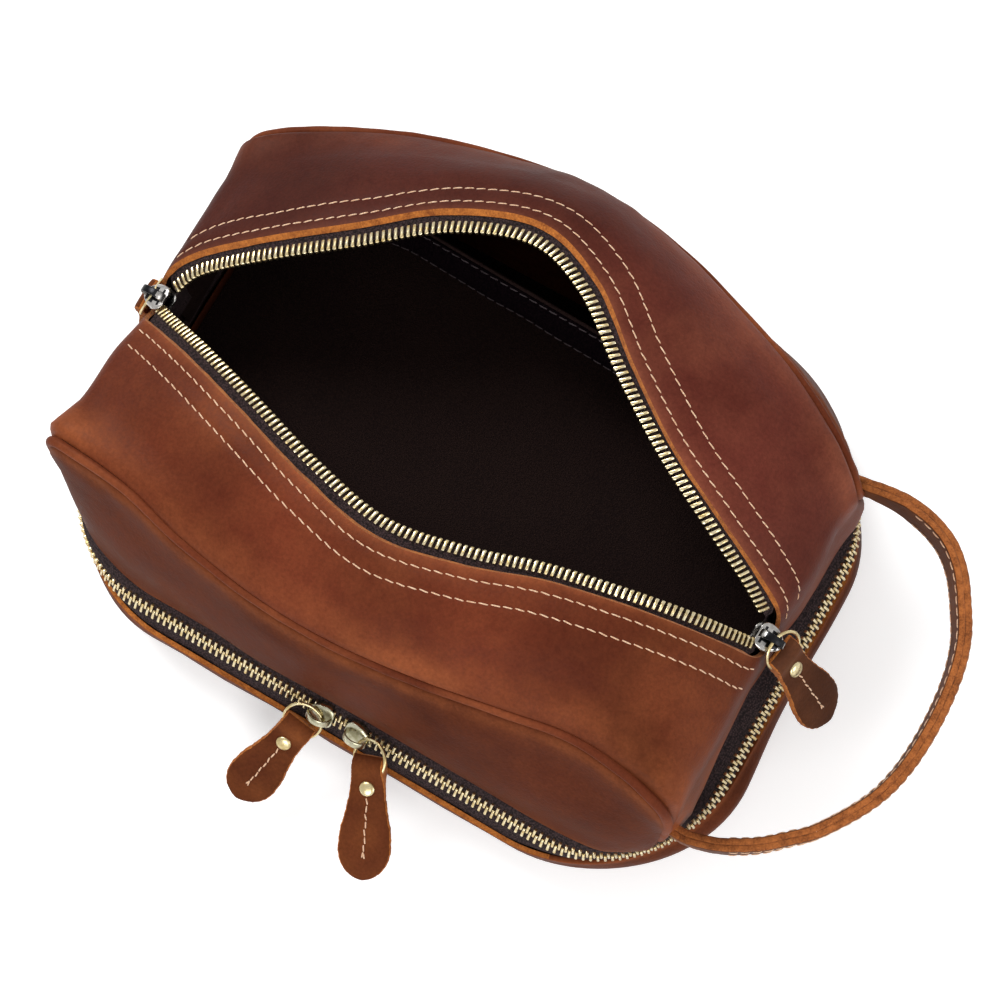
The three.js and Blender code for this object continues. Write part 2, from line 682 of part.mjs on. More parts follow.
function strapGrid(middle, out) {
  const grid = [];
  for (let i = 0; i <= strapSteps; i += 1) {
    const t = i / strapSteps;
    const along = middle.getTangent(t);
    const away = new THREE.Vector3(along.y, -along.x, 0).normalize();
    const point = middle.getPoint(t);
    const full = Math.min(1, (point.x - rootX) / handleWidth);
    const halfHigh = (handleRootWidth + (handleWidth - handleRootWidth) * full) / 2;
    point.addScaledVector(away, out);
    grid.push([-halfHigh, halfHigh].map((z) => point.clone().add(new THREE.Vector3(0, 0, z))));
  }
  return grid;
}

function anchorOutline(root) {
  const from = root.x + pipingRadius + gap;
  const outline = [[from, anchorRadius], [from, -anchorRadius]];
  for (let k = 0; k <= archSteps; k += 1) {
    const angle = Math.PI * (k / archSteps - 1 / 2);
    outline.push([pivotX + anchorRadius * Math.cos(angle), anchorRadius * Math.sin(angle)]);
  }
  return outline;
}

function makeHandle() {
  const roots = [rootPlace(paths.frontPiping), rootPlace(paths.backPiping)];
  const middle = smoothPath([
    new THREE.Vector3(rootX, roots[0].y, handleRise),
    new THREE.Vector3(rootX + handleRootRun, roots[0].y, handleRise),
    ...handleLoopShares.map(([x, y]) => new THREE.Vector3(x * halfLength, y * halfWidth, handleRise)),
    new THREE.Vector3(rootX + handleRootRun, roots[1].y, handleRise),
    new THREE.Vector3(rootX, roots[1].y, handleRise),
  ]);
  const seam = gap / 2;
  const outer = sheetBetween(strapGrid(middle, seam + handleLayer), strapGrid(middle, seam), false);
  addPiece('handle_outer_layer', outer, rawEdge);
  const inner = sheetBetween(strapGrid(middle, -seam), strapGrid(middle, -seam - handleLayer), false);
  addPiece('handle_inner_layer', inner, darkBrown);
  ['front', 'back'].forEach((side, k) => {
    const anchor = plateFrom(anchorOutline(roots[k]), -handleLayer, handleLayer).rotateX(Math.PI / 2);
    addPiece(`handle_anchor_${side}`, anchor.translate(0, roots[k].y, handleRise), rawEdge);
  });
}

// Sliders: in their own frame the chain runs along X, Y crosses it and Z is the outer side

function bailOutline() {
  const outline = [];
  for (let k = 0; k <= archSteps; k += 1) {
    const angle = Math.PI * (1 - k / archSteps);
    outline.push([(bailLength / 2) * Math.cos(angle), bailHeight * Math.sin(angle)]);
  }
  for (let k = archSteps; k >= 0; k -= 1) {
    const angle = Math.PI * (1 - k / archSteps);
    const x = (bailLength / 2 - bailStrip) * Math.cos(angle);
    outline.push([x, (bailHeight - bailStrip) * Math.sin(angle)]);
  }
  return outline;
}

// The keel plate lies under both tooth rows, or only under the one on the side given by sign
function sliderGeometry(rowHeight, sign) {
  const upper = sliderOutlineShares.map(([x, y]) => [(x * sliderLength) / 2, (y * sliderWidth) / 2]);
  const lower = [...upper].reverse().map(([x, y]) => [x, -y]);
  const inner = rowHeight / 2 + gap;
  const outer = inner + sliderPlate;
  const arch = plateFrom(bailOutline(), -bailWidth / 2, bailWidth / 2).rotateX(Math.PI / 2);
  const bail = toSolid(arch.translate(0, 0, outer - bailStrip / 2));
  const bladeHalf = (bladeShare * sliderLength) / 2;
  const edge = sliderBlade / 2;
  const blade = block([-bladeHalf, -edge, -outer], [bladeHalf, edge, outer - sliderPlate / 2]);
  const keelHalf = sliderLength / 2;
  const reach = (keelShare * sliderWidth) / 2;
  const keelFrom = sign > 0 ? -edge : -reach;
  const keelTo = sign < 0 ? edge : reach;
  const keel = block([-keelHalf, keelFrom, -outer], [keelHalf, keelTo, -inner]);
  const plate = toSolid(plateFrom([...upper, ...lower], inner, outer));
  return toGeometry(plate.add(bail).add(toSolid(blade)).add(toSolid(keel)));
}

function basisAt(origin, x, y, z) {
  return new THREE.Matrix4().makeBasis(x, y, z).setPosition(origin);
}

const hookRise = (rowHeight) => rowHeight / 2 + gap + sliderPlate + hookHeight;

// A pull: a round wire ring through the bail, and a folded leather tab round the ring

function tabGeometry() {
  const halfTop = tabTopWidth / 2;
  const halfMost = tabWidth / 2;
  const right = tabOutlineShares.map(([d, w]) => [w * halfMost, d * tabLength]);
  const left = [...right].reverse().map(([w, d]) => [-w, d]);
  const outline = [[halfTop, 0], ...right, ...left, [-halfTop, 0]];
  const plan = plateFrom(outline, -tabFoldThickness, tabFoldThickness);
  const halfFold = tabFoldThickness / 2;
  const front = tabProfileShares.map(([d, n]) => [d * tabLength, n * halfFold]);
  const back = [...front].reverse().map(([d, n]) => [d, -n]);
  const along = (points) => plateFrom(points, -tabWidth, tabWidth)
    .applyMatrix4(new THREE.Matrix4().makeBasis(
      new THREE.Vector3(0, 1, 0),
      new THREE.Vector3(0, 0, 1),
      new THREE.Vector3(1, 0, 0),
    ));
  const hollowHalf = halfFold - tabFoldWall;
  const hollowFront = tabHollowShares.map(([d, n]) => [d * tabFoldReach, n * hollowHalf]);
  const hollowBack = [...hollowFront].reverse().map(([d, n]) => [d, -n]);
  const holeRadius = rivetShank + gap;
  const hole = new THREE.CylinderGeometry(holeRadius, holeRadius, 2 * tabFoldThickness, rollSides);
  hole.rotateX(Math.PI / 2).translate(0, rivetPlace, 0);
  const folded = toSolid(plan).intersect(toSolid(along([...front, ...back])));
  const open = folded.subtract(toSolid(along([...hollowFront, ...hollowBack])));
  return toGeometry(open.subtract(toSolid(hole)));
}

function rivetGeometry() {
  const seat = (tabProfileShares[tabProfileShares.length - 1][1] * tabFoldThickness) / 2 + gap;
  const top = seat + rivetHeadThickness;
  const crown = rivetTopShare * rivetHead;
  const half = [
    [0, -top], [crown, -top], [rivetHead, -seat], [rivetShank, -seat],
    [rivetShank, seat], [rivetHead, seat], [crown, top], [0, top],
  ];
  const rivet = new THREE.LatheGeometry(half.map(([r, z]) => new THREE.Vector2(r, z)), rollSides);
  return rivet.rotateX(Math.PI / 2).translate(0, rivetPlace, 0);
}

function heading(yaw, slope) {
  const turn = THREE.MathUtils.degToRad(yaw);
  const lean = THREE.MathUtils.degToRad(slope);
  const flat = Math.cos(lean);
  return new THREE.Vector3(Math.cos(turn) * flat, Math.sin(turn) * flat, Math.sin(lean));
}

// The ring hangs from the hook; it turns within the slider's plane and lifts out of that plane
function makePull(name, hook, { away, along, outward }) {
  const { yaw, slope, ringTurn, ringLift } = pullLeans[name];
  const turn = THREE.MathUtils.degToRad(ringTurn);
  const rise = THREE.MathUtils.degToRad(ringLift);
  const flat = away.clone().multiplyScalar(Math.cos(turn)).addScaledVector(along, Math.sin(turn));
  const fromHook = flat.clone().multiplyScalar(Math.cos(rise)).addScaledVector(outward, Math.sin(rise));
  const face = outward.clone().multiplyScalar(Math.cos(rise)).addScaledVector(flat, -Math.sin(rise));
  const ringCentre = hook.clone().addScaledVector(fromHook, ringRadius);
  const ring = new THREE.TorusGeometry(ringRadius, ringWire, ringSides, ringSteps);
  const acrossRing = fromHook.clone().cross(face);
  addPiece(`${name}_ring`, ring.applyMatrix4(basisAt(ringCentre, acrossRing, fromHook, face)), paleBrass);
  const down = heading(yaw, slope);
  const toTab = down.clone().projectOnPlane(face).normalize();
  const fold = ringCentre.clone().addScaledVector(toTab, ringRadius).addScaledVector(down, -tabFoldReach);
  const width = toTab.clone().cross(face);
  const placeTab = basisAt(fold, width, down, width.clone().cross(down));
  addPiece(`${name}_tab`, tabGeometry().applyMatrix4(placeTab), redBrown);
  addPiece(`${name}_rivet`, rivetGeometry().applyMatrix4(placeTab), paleBrass);
}

function makeLowerSliders() {
  const front = chainLine.reduce((best, p, k) => (p.y < chainLine[best].y ? k : best), 0);
  const chain = chainLine[front];
  const across = rowSlant[front].clone().setX(0).normalize();
  const outward = new THREE.Vector3(1, 0, 0).cross(across).normalize();
  const ringFrame = { away: across.clone().negate(), along: new THREE.Vector3(1, 0, 0), outward };
  for (const [side, sign] of [['left', 1], ['right', -1]]) {
    const along = new THREE.Vector3(sign, 0, 0);
    const origin = new THREE.Vector3(lowerSliderPlaces[side], chain.y, chain.z);
    const frame = basisAt(origin, along, outward.clone().cross(along), outward);
    addPiece(`lower_${side}_slider`, sliderGeometry(toothRow, sign).applyMatrix4(frame), antiqueBrass);
    makePull(`lower_${side}`, origin.clone().addScaledVector(outward, hookRise(toothRow)), ringFrame);
  }
}

function makeTopSliders() {
  const tilt = THREE.MathUtils.degToRad(topSliderTilt);
  for (const [side, sign] of [['left', -1], ['right', 1]]) {
    const inward = new THREE.Vector3(-sign * Math.cos(tilt), 0, Math.sin(tilt));
    const outward = new THREE.Vector3(sign * Math.sin(tilt), 0, Math.cos(tilt));
    const rowEnd = side === 'left' ? frontMouth[0] : frontMouth[frontMouth.length - 1];
    const { out, drop } = topSliderPlaces[side];
    const origin = new THREE.Vector3(rowEnd.x + sign * out, 0, rowEnd.z - drop);
    const acrossRows = outward.clone().cross(inward);
    const frame = basisAt(origin, inward, acrossRows, outward);
    addPiece(`top_${side}_slider`, sliderGeometry(mouthRowThickness, 0).applyMatrix4(frame), antiqueBrass);
    const hook = origin.clone().addScaledVector(outward, hookRise(mouthRowThickness));
    const ringFrame = { away: inward.clone().negate(), along: acrossRows, outward };
    makePull(`top_${side}`, hook.addScaledVector(inward, -topHookShift), ringFrame);
  }
}

makeTray();
makeLowerZip();
makeHinge();
makeBagFloor();
makeBagPanels();
makePiping();
makeMouthZip();
makeHandle();
makeLowerSliders();
makeTopSliders();

export default bag;
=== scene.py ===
import math

import bpy
import numpy as np
from mathutils import Matrix, Vector


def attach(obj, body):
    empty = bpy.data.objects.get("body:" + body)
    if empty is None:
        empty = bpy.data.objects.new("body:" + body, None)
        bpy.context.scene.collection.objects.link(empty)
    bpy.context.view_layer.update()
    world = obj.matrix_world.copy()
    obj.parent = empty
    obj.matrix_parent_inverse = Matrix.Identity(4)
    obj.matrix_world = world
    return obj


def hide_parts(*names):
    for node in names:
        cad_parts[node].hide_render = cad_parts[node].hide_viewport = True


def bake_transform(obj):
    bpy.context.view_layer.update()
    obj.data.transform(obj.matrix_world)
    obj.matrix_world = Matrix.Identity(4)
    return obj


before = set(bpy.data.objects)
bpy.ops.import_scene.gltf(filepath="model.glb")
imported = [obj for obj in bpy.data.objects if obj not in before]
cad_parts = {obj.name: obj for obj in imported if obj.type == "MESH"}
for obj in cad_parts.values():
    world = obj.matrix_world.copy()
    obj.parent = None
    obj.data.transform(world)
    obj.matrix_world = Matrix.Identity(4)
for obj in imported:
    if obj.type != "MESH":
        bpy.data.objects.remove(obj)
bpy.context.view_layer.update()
scene = bpy.context.scene

# Lengths are in millimetres and become metres when a mesh is made
MM = 0.001
HALF_LENGTH, HALF_WIDTH, BASE, HEIGHT = 120.8, 84.0, 38.0, 78.0
CENTRE = np.array([0.0, 0.0, BASE + HEIGHT / 3])
LEATHER = 1.6
EDGE_INSET, EDGE_LIFT = 6.0, 2.2
LEDGE = BASE + 0.069 * HEIGHT
TRAY_EDGE = 29.5
HINGE_OUT, HINGE_HEIGHT, HINGE_ROLL = 95.1, 33.3, 3.5

FRONT_PIPING = [
    [-0.985, -0.81, 0.10], [-1.006, -0.762, 0.436], [-0.989, -0.732, 0.744], [-0.894, -0.732, 0.795],
    [-0.712, -0.756, 0.795], [-0.513, -0.821, 0.782], [-0.248, -0.869, 0.769], [0, -0.869, 0.769],
    [0.248, -0.827, 0.776], [0.472, -0.77, 0.795], [0.662, -0.724, 0.808], [0.828, -0.738, 0.808],
    [0.944, -0.774, 0.756], [0.989, -0.804, 0.59], [0.989, -0.833, 0.359], [0.977, -0.845, 0.115],
]
BACK_PIPING = [
    [-0.985, 0.798, 0.10], [-1.01, 0.75, 0.385], [-0.989, 0.78, 0.577], [-0.894, 0.881, 0.615],
    [-0.704, 1.018, 0.628], [-0.497, 1.131, 0.628], [-0.232, 1.22, 0.615], [0, 1.244, 0.615],
    [0.248, 1.19, 0.615], [0.48, 1.083, 0.628], [0.679, 0.976, 0.628], [0.844, 0.851, 0.615],
    [0.94, 0.762, 0.564], [0.985, 0.72, 0.449], [0.993, 0.738, 0.282], [0.985, 0.798, 0.10],
]
FRONT_MOUTH = [
    [-0.965, -0.033, 0.603], [-0.894, -0.063, 0.679], [-0.745, -0.119, 0.808], [-0.538, -0.205, 0.904],
    [-0.273, -0.318, 0.949], [-0.033, -0.379, 0.962], [0.199, -0.319, 0.962], [0.397, -0.229, 0.955],
    [0.596, -0.165, 0.936], [0.77, -0.11, 0.859], [0.886, -0.074, 0.744], [0.969, -0.043, 0.615],
]
BACK_MOUTH = [
    [-0.955, 0.05, 0.603], [-0.898, 0.167, 0.692], [-0.728, 0.327, 0.833], [-0.513, 0.53, 0.923],
    [-0.298, 0.75, 0.974], [-0.075, 0.858, 1], [0.116, 0.774, 1], [0.306, 0.571, 0.974],
    [0.513, 0.377, 0.936], [0.712, 0.232, 0.865], [0.861, 0.137, 0.744], [0.96, 0.06, 0.615],
]
L = 0.069
FRONT_SEAM = [
    [-0.985, -0.81, 0.10], [-0.964, -0.863, 0.09], [-0.919, -0.929, 0.077], [-0.836, -0.976, 0.07],
    [-0.695, -1, L], [-0.497, -1, L], [-0.248, -1, L], [0, -1, L],
    [0.248, -1, L], [0.472, -1, L], [0.662, -1, L], [0.82, -0.982, 0.07],
    [0.886, -0.946, 0.077], [0.931, -0.905, 0.09], [0.96, -0.875, 0.10], [0.977, -0.845, 0.115],
]
BACK_SEAM = [
    [-0.985, 0.798, 0.10], [-0.964, 0.845, 0.09], [-0.919, 0.917, 0.08], [-0.853, 0.97, 0.077],
    [-0.745, 1, L], [-0.579, 1, L], [-0.248, 1, L], [0, 1, L],
    [0.248, 1, L], [0.48, 1, L], [0.646, 1, L], [0.762, 1, L],
    [0.861, 0.968, 0.077], [0.919, 0.917, 0.08], [0.964, 0.845, 0.09], [0.985, 0.798, 0.10],
]
HINGE_DROP = [0, 0, 0, 0, 0.55, 0.95, 1, 1, 1, 1, 0.95, 0.5, 0, 0, 0, 0]


# Vectors and curves

def unit(v):
    v = np.asarray(v, float)
    return v / np.maximum(np.linalg.norm(v, axis=-1, keepdims=True), 1e-9)


def smooth(x, low, high):
    x = np.clip((np.asarray(x, float) - low) / (high - low), 0, 1)
    return x * x * (3 - 2 * x)


def bag_points(shares):
    return np.asarray(shares, float) * [HALF_LENGTH, HALF_WIDTH, HEIGHT] + [0, 0, BASE]


def curve(points):
    p = np.asarray(points, float)
    p = np.vstack([2 * p[0] - p[1], p, 2 * p[-1] - p[-2]])
    spans = len(p) - 3

    def at(t):
        t = np.clip(np.asarray(t, float), 0, 1) * spans
        i = np.minimum(t.astype(int), spans - 1)
        f = (t - i)[..., None]
        a, b, c, d = p[i], p[i + 1], p[i + 2], p[i + 3]
        return 0.5 * (2 * b + (c - a) * f + (2 * a - 5 * b + 4 * c - d) * f**2 + (3 * b - a - 3 * c + d) * f**3)

    return at


def lengths(line):
    return np.concatenate([[0], np.cumsum(np.linalg.norm(np.diff(line, axis=0), axis=1))])


def pick(arrays, where, spots):
    """Each array read off at distances spots, where the line's own distances are where."""
    return [np.stack([np.interp(spots, where, a[:, k]) for k in range(a.shape[1])], 1) for a in arrays]


def even(path, count):
    """Values of t that divide a curve into even lengths."""
    t = np.linspace(0, 1, 3000)
    s = lengths(path(t))
    return np.interp(np.linspace(0, s[-1], count), s, t)


def ripple(points, size, seed):
    """Smooth unevenness, about -1 to 1, over lengths of about size."""
    rng = np.random.default_rng(seed)
    total = 0
    for _ in range(12):
        way = unit(rng.normal(size=3))
        total = total + np.sin(points @ way * (2 * math.pi * rng.uniform(0.6, 1.5) / size) + rng.uniform(0, 6.28))
    return total / 3.5


def normals_of(grid, centre=CENTRE):
    n = unit(np.cross(np.gradient(grid, axis=0), np.gradient(grid, axis=1)))
    away = np.sum(n * (grid - centre), axis=-1)
    return n * np.where(away < 0, -1, 1)[..., None]


def frames_along(line, side):
    """Tangent, side and third axis along a line. side is a hint at each point."""
    tan = unit(np.gradient(line, axis=0))
    side = np.broadcast_to(side, line.shape)
    across = unit(side - np.sum(side * tan, axis=1, keepdims=True) * tan)
    return tan, across, np.cross(tan, across)


# Meshes

def make(name, verts, faces, materials, body, replaces=(), slot=None, marks=None, uvs=None, wear=None, dye=None,
         sharp=True):
    mesh = bpy.data.meshes.new(name)
    mesh.from_pydata((np.asarray(verts, float) * MM).tolist(), [], faces)
    mesh.validate()
    for material in materials:
        mesh.materials.append(material)
    if marks is not None:
        mesh.polygons.foreach_set("material_index", np.asarray(marks, np.int32))
    mesh.polygons.foreach_set("use_smooth", np.ones(len(mesh.polygons), bool))
    if sharp:
        mesh.set_sharp_from_angle(angle=math.radians(50))
    if uvs is not None:
        layer = mesh.uv_layers.new(name="UVMap")
        index = np.zeros(len(mesh.loops), np.int32)
        mesh.loops.foreach_get("vertex_index", index)
        layer.data.foreach_set("uv", np.asarray(uvs, np.float32)[index].ravel())
    for key, values in (("wear", wear), ("dye", dye)):
        if values is not None:
            mesh.attributes.new(key, "FLOAT", "POINT").data.foreach_set("value", np.asarray(values, np.float32))
    mesh.update()
    piece = bpy.data.objects.new(name, mesh)
    scene.collection.objects.link(piece)
    if body:
        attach(piece, body)
    if replaces:
        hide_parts(*replaces)
    return piece


def sheet(name, outer, inner, materials, body, wear=None, closed=False, **more):
    """A closed sheet between two grids: materials for the outer side, the inner side and the cut edge."""
    n, m = outer.shape[:2]
    verts = np.concatenate([outer.reshape(-1, 3), inner.reshape(-1, 3)])
    i, j = np.meshgrid(np.arange(n if closed else n - 1), np.arange(m - 1), indexing="ij")
    a, b = (i * m + j).ravel(), (((i + 1) % n) * m + j).ravel()
    top = np.stack([a, b, b + 1, a + 1], 1)
    low = top[:, ::-1] + n * m
    faces, marks = [*top.tolist(), *low.tolist()], [0] * len(top) + [1] * len(low)
    rows = np.arange(n if closed else n - 1)
    for j0, turn in ((0, 1), (m - 1, -1)):
        p, q = rows * m + j0, ((rows + 1) % n) * m + j0
        faces += np.stack([p, p + n * m, q + n * m, q], 1)[:, ::turn].tolist()
        marks += [2] * len(rows)
    if not closed:
        cols = np.arange(m - 1)
        for i0, turn in ((0, -1), (n - 1, 1)):
            p = i0 * m + cols
            faces += np.stack([p, p + n * m, p + n * m + 1, p + 1], 1)[:, ::turn].tolist()
            marks += [2] * len(cols)
    # The two sides run the same way round only if the outer grid faces outward
    middle = outer[n // 2, m // 2]
    way = np.cross(outer[(n // 2 + 1) % n, m // 2] - middle, outer[n // 2, m // 2 + 1] - middle)
    if way @ (middle - inner[n // 2, m // 2]) < 0:
        faces = [f[::-1] for f in faces]
    u = np.broadcast_to(lengths(outer[:, m // 2])[:, None], (n, m))
    v = np.concatenate([np.zeros((n, 1)), np.cumsum(np.linalg.norm(np.diff(outer, axis=1), axis=2), axis=1)], 1)
    uv = np.stack([u, v], -1).reshape(-1, 2) * MM
    if wear is not None:
        wear = np.concatenate([wear.ravel(), np.zeros(n * m)])
    return make(name, verts, faces, materials, body, marks=marks, uvs=np.concatenate([uv, uv]), wear=wear, **more)


def loft(rings, closed=False):
    """Vertices and faces of a skin over rings of points, capped at both ends unless closed."""
    rings = np.asarray(rings, float)
    n, k = rings.shape[:2]
    i, j = np.meshgrid(np.arange(n if closed else n - 1), np.arange(k), indexing="ij")
    a, b = (i * k + j).ravel(), (((i + 1) % n) * k + j).ravel()
    c, d = (((i + 1) % n) * k + (j + 1) % k).ravel(), (i * k + (j + 1) % k).ravel()
    faces = np.stack([a, b, c, d], 1).tolist()
    if not closed:
        faces += [list(range(k)), [(n - 1) * k + x for x in range(k)][::-1]]
    verts = rings.reshape(-1, 3)
    return fixed(verts, faces)


def fixed(verts, faces):
    """The same skin with its faces turned outward."""
    volume = 0.0
    for f in faces:
        for x in range(1, len(f) - 1):
            volume += np.dot(verts[f[0]], np.cross(verts[f[x]], verts[f[x + 1]]))
    return verts, (faces if volume > 0 else [f[::-1] for f in faces])


def scatter(name, shape, origins, axes, material, body, **more):
    """Copies of one small shape as one mesh. axes holds each copy's three axes as rows."""
    verts, faces = shape
    count = len(origins)
    everywhere = np.einsum("vk,nkj->nvj", verts, axes) + np.asarray(origins)[:, None]
    all_faces = [[x + c * len(verts) for x in f] for c in range(count) for f in faces]
    return make(name, everywhere.reshape(-1, 3), all_faces, [material], body, **more)


def oval(count, wide, high, power=2.0):
    angle = np.arange(count) * 2 * math.pi / count
    c, s = np.cos(angle), np.sin(angle)
    return np.stack([wide * np.sign(c) * abs(c) ** (2 / power), high * np.sign(s) * abs(s) ** (2 / power)], 1)


def lofted(xs, sections):
    """Rings across X: each section is a list of (y, z)."""
    return loft([[[x, y, z] for y, z in s] for x, s in zip(xs, sections)])


def stitch_shape(length, radius):
    xs = np.array([-1, -0.93, -0.7, -0.3, 0.3, 0.7, 0.93, 1]) * length / 2
    sizes = [0.35, 0.75, 1, 1.06, 1.06, 1, 0.75, 0.35]
    sinks = [-0.9, -0.55, -0.1, 0.12, 0.12, -0.1, -0.55, -0.9]
    return lofted(xs, [oval(8, radius * k, radius * k * 0.85) + [0, radius * s] for k, s in zip(sizes, sinks)])


def tooth_shape(inner, outer, width, height):
    """A zip tooth: X across the row from its head at -inner to its legs at outer, Y along the row."""
    xs = [-inner, -inner + 0.25, -inner + 1.0, -inner + 1.35, outer - 0.5, outer - 0.12, outer]
    wide = [0.6, 1.0, 1.0, 0.82, 0.82, 0.74, 0.5]
    high = [0.55, 0.86, 0.92, 1.0, 1.0, 0.9, 0.6]
    return lofted(xs, [oval(8, width / 2 * w, height / 2 * h, 3.5) for w, h in zip(wide, high)])


def chain_tooth():
    """A tooth of the closed chain: a narrow bar whose head widens to lock with the row across."""
    xs = [-0.75, -0.6, -0.2, 0.35, 0.7, 2.3, 2.85, 3.05]
    wide = [0.4, 0.5, 0.52, 0.5, 0.5, 0.54, 0.6, 0.34]
    high = [0.6, 0.95, 1.1, 1.1, 1.15, 1.2, 1.1, 0.7]
    return lofted(xs, [oval(8, w, h, 3.2) for w, h in zip(wide, high)])


def stitches(name, line, up, material, body, pitch=3.85, length=3.2, radius=0.22, slant=0.12, lift=0.1, **more):
    where = lengths(line)
    count = int(where[-1] / pitch)
    spots = (np.arange(count) + 0.5) * where[-1] / max(count, 1)
    at, normal = pick([line, up], where, spots)
    ahead, = pick([line], where, spots + 0.5)
    behind, = pick([line], where, spots - 0.5)
    rng = np.random.default_rng(len(name) + count)
    tan, across, third = unit(ahead - behind), unit(np.cross(unit(normal), ahead - behind)), unit(normal)
    turn = (slant + rng.normal(0, 0.035, count))[:, None]
    axes = np.stack([tan * np.cos(turn) + across * np.sin(turn), across * np.cos(turn) - tan * np.sin(turn), third], 1)
    return scatter(name, stitch_shape(length, radius), at + third * lift, axes, material, body, slot="zip_tape", **more)


# Materials

def linear(r, g, b):
    shares = [c / 255 for c in (r, g, b)]
    return tuple((c / 12.92 if c <= 0.04045 else ((c + 0.055) / 1.055) ** 2.4) for c in shares) + (1,)


class Nodes:
    """A material's nodes, with short ways to add and join them."""

    def __init__(self, name, tree=None):
        self.tree = tree
        if tree is None:
            self.material = bpy.data.materials.new(name)
            self.material.use_nodes = True
            self.tree = self.material.node_tree
            self.shader = self.tree.nodes["Principled BSDF"]

    def node(self, kind, **values):
        node = self.tree.nodes.new(kind)
        for key, value in values.items():
            if hasattr(node, key):
                setattr(node, key, value)
            else:
                self.plug(node.inputs[key.replace("_", " ")], value)
        return node

    def plug(self, socket, value):
        if isinstance(value, bpy.types.NodeSocket):
            self.tree.links.new(value, socket)
        else:
            socket.default_value = value

    def noise(self, scale, detail=2.0, roughness=0.5, vector=None):
        node = self.node("ShaderNodeTexNoise", Scale=scale, Detail=detail, Roughness=roughness)
        self.plug(node.inputs["Vector"], vector or self.place())
        return node.outputs["Fac"]

    def place(self, kind="Object"):
        return self.node("ShaderNodeTexCoord").outputs[kind]

    def math(self, operation, a, b=0.0):
        node = self.node("ShaderNodeMath", operation=operation)
        self.plug(node.inputs[0], a)
        self.plug(node.inputs[1], b)
        return node.outputs[0]

    def remap(self, value, low, high, to_low=0.0, to_high=1.0):
        node = self.node("ShaderNodeMapRange")
        ends = {"From Min": low, "From Max": high, "To Min": to_low, "To Max": to_high}
        for key, v in {"Value": value, **ends}.items():
            self.plug(node.inputs[key], v)
        return node.outputs[0]

    def mix(self, factor, a, b, kind="MIX"):
        node = self.node("ShaderNodeMix", data_type="RGBA", blend_type=kind)
        self.plug(node.inputs[0], factor)
        self.plug(node.inputs[6], a)
        self.plug(node.inputs[7], b)
        return node.outputs[2]

    def attribute(self, name):
        return self.node("ShaderNodeAttribute", attribute_name=name).outputs["Fac"]

    def bump(self, height, strength, distance):
        node = self.node("ShaderNodeBump", Strength=strength, Distance=distance, Height=height)
        return node.outputs[0]

    def finish(self, **sockets):
        for key, value in sockets.items():
            self.plug(self.shader.inputs[key.replace("_", " ")], value)
        return self.material


def leather(name, deep, mid, warm, rough=0.46, spec=0.25, grain=0.34):
    m = Nodes(name)
    big = m.remap(m.noise(22, 3, 0.55), 0.3, 0.7)
    patch = m.remap(m.noise(110, 4, 0.6), 0.3, 0.7)
    fine = m.noise(850, 3, 0.6)
    pull = m.math("MULTIPLY", m.attribute("wear"), m.math("ADD", 0.6, m.math("MULTIPLY", patch, 0.5)))
    base = m.mix(big, linear(*deep), linear(*mid))
    base = m.mix(m.math("MULTIPLY", patch, 0.16), base, linear(*warm))
    base = m.mix(pull, base, linear(*warm))
    shade = m.math("MULTIPLY", m.remap(fine, 0.3, 0.7, 0.85, 1.13),
                   m.math("ADD", 1.0, m.math("MULTIPLY", m.attribute("dye"), 0.5)))
    base = m.mix(1.0, base, m.node("ShaderNodeCombineColor", Red=shade, Green=shade, Blue=shade).outputs[0], "MULTIPLY")
    cells = m.node("ShaderNodeTexVoronoi", feature="SMOOTH_F1", Scale=1150.0, Smoothness=0.6)
    m.plug(cells.inputs["Vector"], m.place())
    height = m.math("ADD", m.math("MULTIPLY", cells.outputs["Distance"], 0.8), m.math("MULTIPLY", fine, 0.9))
    height = m.math("ADD", height, m.math("MULTIPLY", m.noise(260, 3, 0.55), 1.6))
    roughness = m.math("ADD", m.remap(patch, 0, 1, rough - 0.06, rough + 0.06), m.remap(fine, 0.3, 0.7, -0.03, 0.05))
    return m.finish(Base_Color=base, Roughness=roughness, Specular_IOR_Level=spec,
                    Normal=m.bump(height, grain, 0.00022))


def suede(name, dark, light, bumpy=0.8):
    m = Nodes(name)
    fibre = m.noise(1500, 4, 0.7)
    blotch = m.noise(300, 4, 0.65)
    both = m.math("ADD", m.math("MULTIPLY", fibre, 0.5), m.math("MULTIPLY", blotch, 0.5))
    base = m.mix(m.remap(both, 0.38, 0.6), linear(*dark), linear(*light))
    return m.finish(Base_Color=base, Roughness=0.88, Specular_IOR_Level=0.15, Sheen_Weight=0.1,
                    Sheen_Roughness=0.6, Normal=m.bump(both, bumpy, 0.0004))


def pebbled(name, dark, light, size=0.75, spec=0.2):
    """A tight twill seen as small dark and light grains."""
    m = Nodes(name)
    cells = m.node("ShaderNodeTexVoronoi", feature="F1", Scale=1 / (size * MM), Randomness=0.75)
    m.plug(cells.inputs["Vector"], m.place())
    bead = m.remap(cells.outputs["Distance"], 0.0, 0.75, 1.0, 0.0)
    tone = m.math("ADD", m.math("MULTIPLY", bead, 0.65), m.math("MULTIPLY", m.noise(1900, 3, 0.6), 0.45))
    return m.finish(Base_Color=m.mix(m.remap(tone, 0.25, 0.95), linear(*dark), linear(*light)), Roughness=0.8,
                    Specular_IOR_Level=spec, Normal=m.bump(bead, 0.7, 0.0003))


